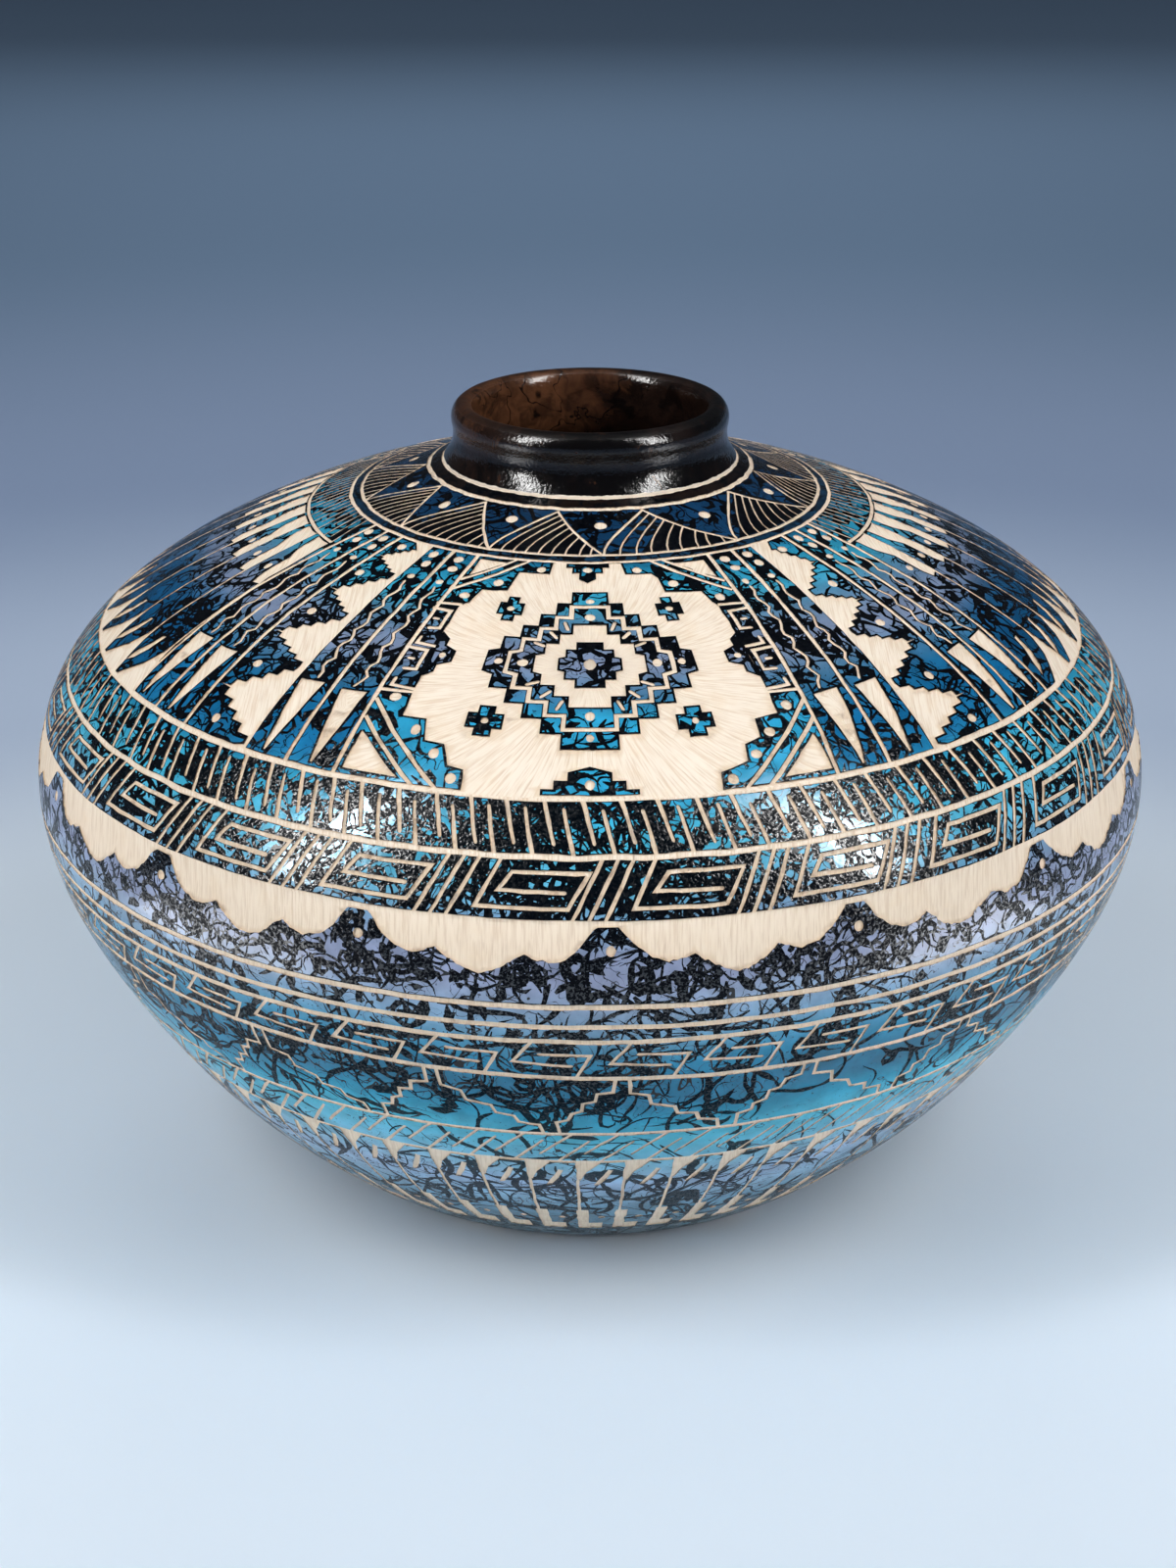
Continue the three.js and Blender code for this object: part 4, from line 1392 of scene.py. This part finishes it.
def neck_material():
    m = Tree("burnished_neck")
    mm = m.object_mm()
    xyz = m.add("SeparateXYZ")
    m.set(xyz.inputs[0], mm)
    x, y, z = xyz.outputs
    r = m.math("SQRT", m.math("ADD", m.math("MULTIPLY", x, x), m.math("MULTIPLY", y, y)))
    inner = m.span(r, 26.6, 28.4, 1.0, 0.0)
    a = m.noise(mm, 15.0, 4.0, .62, 1.2).outputs["Fac"]
    c = m.noise(mm, 4.0, 3.0, .6, .8).outputs["Fac"]
    # outside nearly black, brown clay showing through at the left; inside brown, darker at the right
    left = m.span(m.math("ADD", x, m.math("MULTIPLY", m.math("SUBTRACT", a, .5), 40.0)), -30.0, -10.0, 1.0, 0.0)
    left = m.math("MULTIPLY", left, m.span(z, 169.0, 174.0, .12, 1.0))
    right = m.span(m.math("ADD", x, m.math("MULTIPLY", m.math("SUBTRACT", a, .5), 40.0)), -9.0, 9.0, .9, .06)
    show = m.add("Mix", data_type="FLOAT")
    m.set(show.inputs[0], inner)
    m.set(show.inputs[2], m.math("ADD", m.math("MULTIPLY", left, .5), m.span(c, .62, .74, 0.0, .35)))
    m.set(show.inputs[3], right)
    clay = m.mix(m.span(c, .35, .65), lin(62, 39, 26), lin(98, 63, 42))
    col = m.mix(show.outputs[0], m.mix(m.span(a, .42, .68), lin(8, 7, 8), lin(26, 18, 16)), clay)
    # hair marks: thin black veins and a few blots
    vein = m.noise(mm, 13.0, 3.0, .55, .5).outputs["Fac"]
    near = m.math("ABSOLUTE", m.math("SUBTRACT", vein, .5))
    col = m.mix(m.span(near, .003, .012, .85, 0.0), col, lin(6, 5, 6))
    col = m.mix(m.span(m.noise(mm, 7.5, 2.0, .5, .5).outputs["Fac"], .62, .70, 0.0, .85), col, lin(8, 6, 6))
    # the carved ring at its foot, in bare clay
    shaky = m.math("ADD", z, m.math("MULTIPLY", m.math("SUBTRACT", m.noise(mm, 2.0, 2.0, .6).outputs["Fac"], .5), .5))
    bare = m.span(shaky, 164.86, 164.94, 1.0, 0.0)
    bare = m.math("MULTIPLY", bare, m.span(r, 30.0, 31.0, 0.0, 1.0))
    col = m.mix(bare, col, lin(238, 224, 205))
    m.set(m.bsdf.inputs["Base Color"], col)
    # the crest of the lip is worn dull
    crest = m.math("ADD", m.span(z, 176.0, 177.0, 0.0, .3), m.math("MULTIPLY", bare, .6))
    m.set(m.bsdf.inputs["Roughness"], m.math("ADD", m.span(c, .3, .7, .09, .17), crest))
    m.set(m.bsdf.inputs["Specular IOR Level"], m.span(z, 176.0, 177.0, .36, .2))
    ringy = m.noise(m.object_mm(stretch=(60, 60, 1500)), 1.0, 2.0, .5).outputs["Fac"]
    b1 = m.bump(m.noise(mm, .7, 2.0, .6).outputs["Fac"], .10, .85)
    b2 = m.bump(ringy, .05, .7, b1)
    b3 = m.bump(m.noise(mm, 7.0, 2.0, .5).outputs["Fac"], .35, .5, b2)
    m.set(m.bsdf.inputs["Normal"], b3)
    return m.mat


def foot_material():
    m = Tree("smoked_foot")
    mm = m.object_mm()
    a = m.noise(mm, 22.0, 4.0, .6, .6).outputs["Fac"]
    c = m.noise(mm, 3.0, 3.0, .6).outputs["Fac"]
    col = m.mix(m.span(a, .4, .65), lin(40, 33, 30), lin(150, 124, 98))
    col = m.mix(m.span(c, .55, .75, 0.0, .4), col, lin(26, 22, 22))
    m.set(m.bsdf.inputs["Base Color"], col)
    m.set(m.bsdf.inputs["Roughness"], m.span(c, .3, .7, .5, .75))
    m.set(m.bsdf.inputs["Normal"], m.bump(m.noise(mm, 1.0, 2.0, .6).outputs["Fac"], .08, .8))
    return m.mat


# ------------------------------------------------------------------ turned pieces
def turned(name, outline, mat_of, mats, node, segs=240):
    """A closed turned solid: outline is a closed loop of (radius, height), counter-clockwise in (r, z)."""
    n = len(outline)
    verts, index = [], {}
    for i, (r, z) in enumerate(outline):
        if r < 1e-6:
            index[i] = [len(verts)] * segs
            verts.append((0, 0, z * .001))
        else:
            ids = []
            for k in range(segs):
                a = 2 * math.pi * k / segs - math.pi
                ids.append(len(verts))
                verts.append((r * math.sin(a) * .001, -r * math.cos(a) * .001, z * .001))
            index[i] = ids
    faces, fm, fuv = [], [], []
    ln = np.concatenate([[0], np.cumsum([math.dist(outline[i], outline[(i + 1) % n]) for i in range(n)])])
    ln /= ln[-1]
    for i in range(n):
        j = (i + 1) % n
        a, b = index[i], index[j]
        if outline[i][0] < 1e-6 and outline[j][0] < 1e-6:
            continue
        for k in range(segs):
            m = (k + 1) % segs
            half = 0 if k < segs // 2 else 1
            u0, u1 = (k - half * segs // 2) / (segs / 2), (k + 1 - half * segs // 2) / (segs / 2)
            v0, v1 = .01 + half * .5 + ln[i] * .475, .01 + half * .5 + ln[i + 1] * .475
            quad = [(a[k], u0, v0), (a[m], u1, v0), (b[m], u1, v1), (b[k], u0, v1)]
            if a[k] == a[m]:
                quad = [quad[0], quad[2], quad[3]]
            elif b[k] == b[m]:
                quad = [quad[0], quad[1], quad[3]]
            faces.append([q[0] for q in quad])
            fuv += [(.004 + q[1] * .992, q[2]) for q in quad]
            fm.append(mat_of(i))
    me = bpy.data.meshes.new(name)
    me.from_pydata(verts, [], faces)
    me.polygons.foreach_set("material_index", fm)
    me.polygons.foreach_set("use_smooth", [True] * len(faces))
    ul = me.uv_layers.new(name="OFBake")
    ul.data.foreach_set("uv", np.array(fuv, np.float32).ravel())
    for m in mats:
        me.materials.append(m)
    me.update()
    ob = bpy.data.objects.new(name, me)
    bpy.context.scene.collection.objects.link(ob)
    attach(ob, "root")
    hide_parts(node)
    return ob


# ------------------------------------------------------------------ build
SKIN, SOOT_AND_SHADE_MAT, CLAY, EDGE, INSIDE = skin_material(), soot_and_shade_material(), clay_material(), edge_material(), inside_material()
NECK_MAT, FOOT_MAT = neck_material(), foot_material()
MATS = [SKIN, SOOT_AND_SHADE_MAT, CLAY, EDGE, INSIDE]


def behind(s_list, wall):
    out = []
    for s in s_list:
        r, z, nr, nz = (float(x) for x in profile(s))
        out.append((r - nr * wall, z - nz * wall))
    return out


def inner_wall(s0, s1, wall, n):
    return behind([s1 - (s1 - s0) * i / n for i in range(n + 1)], wall)


def lathe_neck():
    pts = natural_spline(NECK, 90)
    out = [tuple(p) for p in pts]
    # the collar's flat foot, just above its ledge
    loop = out + [(33.2, 161.75)]
    # the burnished strip ends in the middle of the carved ring
    loop[0] = (32.82, 164.1)
    loop = loop[::-1]
    area = sum(loop[i][0] * loop[(i + 1) % len(loop)][1] - loop[(i + 1) % len(loop)][0] * loop[i][1] for i in range(len(loop)))
    if area > 0:
        loop = loop[::-1]
    return loop


grid = 3.4
collar_inner = behind([R4, .13], WALL_SHOULDER) + [(36.5, 156.3), (28.8, 157.9), (28.4, 161.4), (33.6, 161.4)]
build_band(draw_collar(), 10, 2.6, 2, collar_inner, "shoulder_shell", MATS)
build_band(draw_panels(), 4, 3.8, 3, inner_wall(R4, R5, WALL_SHOULDER, 6), "shoulder_shell", MATS,
           panel_tool=True)
build_band(draw_comb(), 4, 3.0, 9, inner_wall(R5, R6, WALL_SHOULDER, 2), "shoulder_shell", MATS)
build_band(draw_fret(), 4, 3.0, 9, inner_wall(R6, R7, WALL_SHOULDER, 2), "shoulder_shell", MATS)
build_band(draw_scallops(), 4, 3.0, 9, inner_wall(R7, RA, WALL_SHOULDER, 3), "shoulder_shell", MATS)
build_band(draw_waist(), 4, grid, 5, inner_wall(RA, RE, WALL_BOWL, 4), "lower_bowl", MATS)
build_band(draw_slant(), 4, 3.0, 9, inner_wall(RE, RF, WALL_BOWL, 2), "lower_bowl", MATS)
low_inner = [q for q in inner_wall(RF, S_END, WALL_BOWL, 9) if q[1] > 12.2]
build_band(draw_feathers(), 4, grid, 3, [(60.0, 1.5), (60.0, 8.9), (67.5, 11.6)] + low_inner, "lower_bowl",
           MATS)
re, ze = float(CURVE[-1, 0]), float(CURVE[-1, 1])
turned("foot_disc", [(0, 0), (60.6, 0), (62.2, .12), (63.6, .45), (64.6, .9), (re, ze), (60.0, 1.5), (60.0, 8.9), (58.5, 8.2),
                     (48, 7), (0, 7)],
       lambda i: 0 if i < 6 else 1, [FOOT_MAT, INSIDE], "lower_bowl", segs=180)
neck_loop = lathe_neck()
neck = turned("neck_lip", neck_loop, lambda i: 0, [NECK_MAT], "neck_collar", segs=256)

# ------------------------------------------------------------------ camera
cam_data = bpy.data.cameras.new("camera")
cam = bpy.data.objects.new("camera", cam_data)
bpy.context.scene.collection.objects.link(cam)
bpy.context.scene.camera = cam
cam_data.sensor_fit = "HORIZONTAL"
cam_data.sensor_width = 36.0
cam_data.lens = 79.83
cam_data.clip_start = .01
cam_data.clip_end = 50
cam.location = (0.0, -.567, .3268)
pitch, yaw, roll = 23.16 * DEG, 2.2 / 2661, .14 * DEG
cam.rotation_euler = (math.pi / 2 - pitch, 0, yaw)

# ------------------------------------------------------------------ floor and light
def floor():
    me = bpy.data.meshes.new("floor")
    me.from_pydata([(-20, -20, 0), (20, -20, 0), (20, 20, 0), (-20, 20, 0)], [], [(0, 1, 2, 3)])
    m = Tree("floor_paper")
    shift = m.add("VectorMath", operation="ADD")
    m.set(shift.inputs[0], m.add("TexCoord").outputs["Object"])
    shift.inputs[1].default_value = (0, .12, 0)
    away = m.add("VectorMath", operation="LENGTH")
    m.set(away.inputs[0], shift.outputs["Vector"])
    # painted light and shade: the paper is painted pale round the jar, darker further off and paler again far away
    col = m.mix(m.span(away.outputs["Value"], .28, .42), lin(222, 236, 250), lin(180, 197, 221))
    for near, far, tone in [(.42, .69, lin(139, 158, 189)), (.69, 1.2, lin(114, 138, 166)), (1.2, 2.4, lin(146, 175, 208))]:
        col = m.mix(m.span(away.outputs["Value"], near, far), col, tone)
    m.set(m.bsdf.inputs["Base Color"], col)
    m.bsdf.inputs["Roughness"].default_value = .9
    m.bsdf.inputs["Specular IOR Level"].default_value = .1
    # the far paper glows a little: painted light that keeps it pale on every side, beyond the reach of the lamps
    xyz = m.add("SeparateXYZ")
    m.set(xyz.inputs[0], m.add("TexCoord").outputs["Object"])
    far_side = m.add("Math", operation="ABSOLUTE")
    m.set(far_side.inputs[0], xyz.outputs["X"])
    front_side = m.add("Math", operation="MULTIPLY")
    m.set(front_side.inputs[0], xyz.outputs["Y"])
    front_side.inputs[1].default_value = -1.0
    glow = m.add("Math", operation="MAXIMUM")
    m.set(glow.inputs[0], m.span(far_side.outputs["Value"], .85, 2.4))
    m.set(glow.inputs[1], m.span(front_side.outputs["Value"], .85, 2.4))
    glow_all = m.add("Math", operation="MAXIMUM")
    m.set(glow_all.inputs[0], glow.outputs["Value"])
    m.set(glow_all.inputs[1], m.span(xyz.outputs["Y"], 2.8, 5.0))
    soft = m.add("Math", operation="MULTIPLY")
    m.set(soft.inputs[0], glow_all.outputs["Value"])
    soft.inputs[1].default_value = .8
    m.bsdf.inputs["Emission Color"].default_value = (*lin(150, 170, 197)[:3], 1)
    m.set(m.bsdf.inputs["Emission Strength"], soft.outputs["Value"])
    me.materials.append(m.mat)
    ob = bpy.data.objects.new("floor", me)
    ob.location = (0, 0, -.0002)
    bpy.context.scene.collection.objects.link(ob)


floor()


def area_light(name, at, look, size, power, tint=(1, 1, 1), mirrored=True):
    d = bpy.data.lights.new(name, "AREA")
    d.shape = "RECTANGLE"
    d.size, d.size_y = size
    d.energy = power
    d.color = tint
    o = bpy.data.objects.new(name, d)
    o.location = at
    v = Vector(look) - Vector(at)
    o.rotation_mode = "QUATERNION"
    o.rotation_quaternion = v.to_track_quat("-Z", "Y")
    o.visible_glossy = mirrored
    bpy.context.scene.collection.objects.link(o)
    return o


def around(azimuth, elevation, distance, height=.1):
    a, e = azimuth * DEG, elevation * DEG
    return (math.sin(a) * math.cos(e) * distance, -math.cos(a) * math.cos(e) * distance, math.sin(e) * distance + height)


area_light("softbox_left", around(-57, 37, 1.25), (0, 0, .1), (.22, 1.15), 10.4, (1.0, .985, .97))
area_light("softbox_right", around(57, 37, 1.25), (0, 0, .1), (.22, 1.15), 9.9, (1.0, .985, .97))
area_light("rear", around(180, 30, 1.7), (0, 0, .1), (1.1, .7), 6.0, (.97, .985, 1.0), False)
area_light("fill", (0, -.1, 3.0), (0, 0, .1), (2.4, 2.4), 8.5, (.93, .97, 1.0), False)
area_light("front", (0, -2.3, 1.0), (0, 0, .04), (2.0, 1.0), 7.0, (.96, .98, 1.0), False)
# the hot cores of the two softboxes, seen in the gloss only
for side in (-57, 57):
    core = area_light("core_left" if side < 0 else "core_right", around(side, 34, 1.24), (0, 0, .1), (.13, .84), 10.8)
    core.visible_diffuse = False

# the softboxes' sheen on the floor, seen in the gloss of the belly only
for side in (-62, 62):
    card = area_light("sheen_left" if side < 0 else "sheen_right",
                      (math.sin(side * DEG) * .5, -math.cos(side * DEG) * .5, .004), (0, 0, 1), (.2, .5), 1.3)
    card.rotation_mode = "XYZ"
    card.rotation_euler = (math.pi, 0, side * DEG)
    card.visible_diffuse = False
    card.visible_camera = False

world = bpy.data.worlds.new("studio")
world.use_nodes = True
bg = world.node_tree.nodes["Background"]
bg.inputs[0].default_value = (.72, .84, 1.0, 1)
bg.inputs[1].default_value = .05
bpy.context.scene.world = world
bpy.context.scene.view_settings.view_transform = "Standard"
bpy.context.scene.view_settings.look = "None"
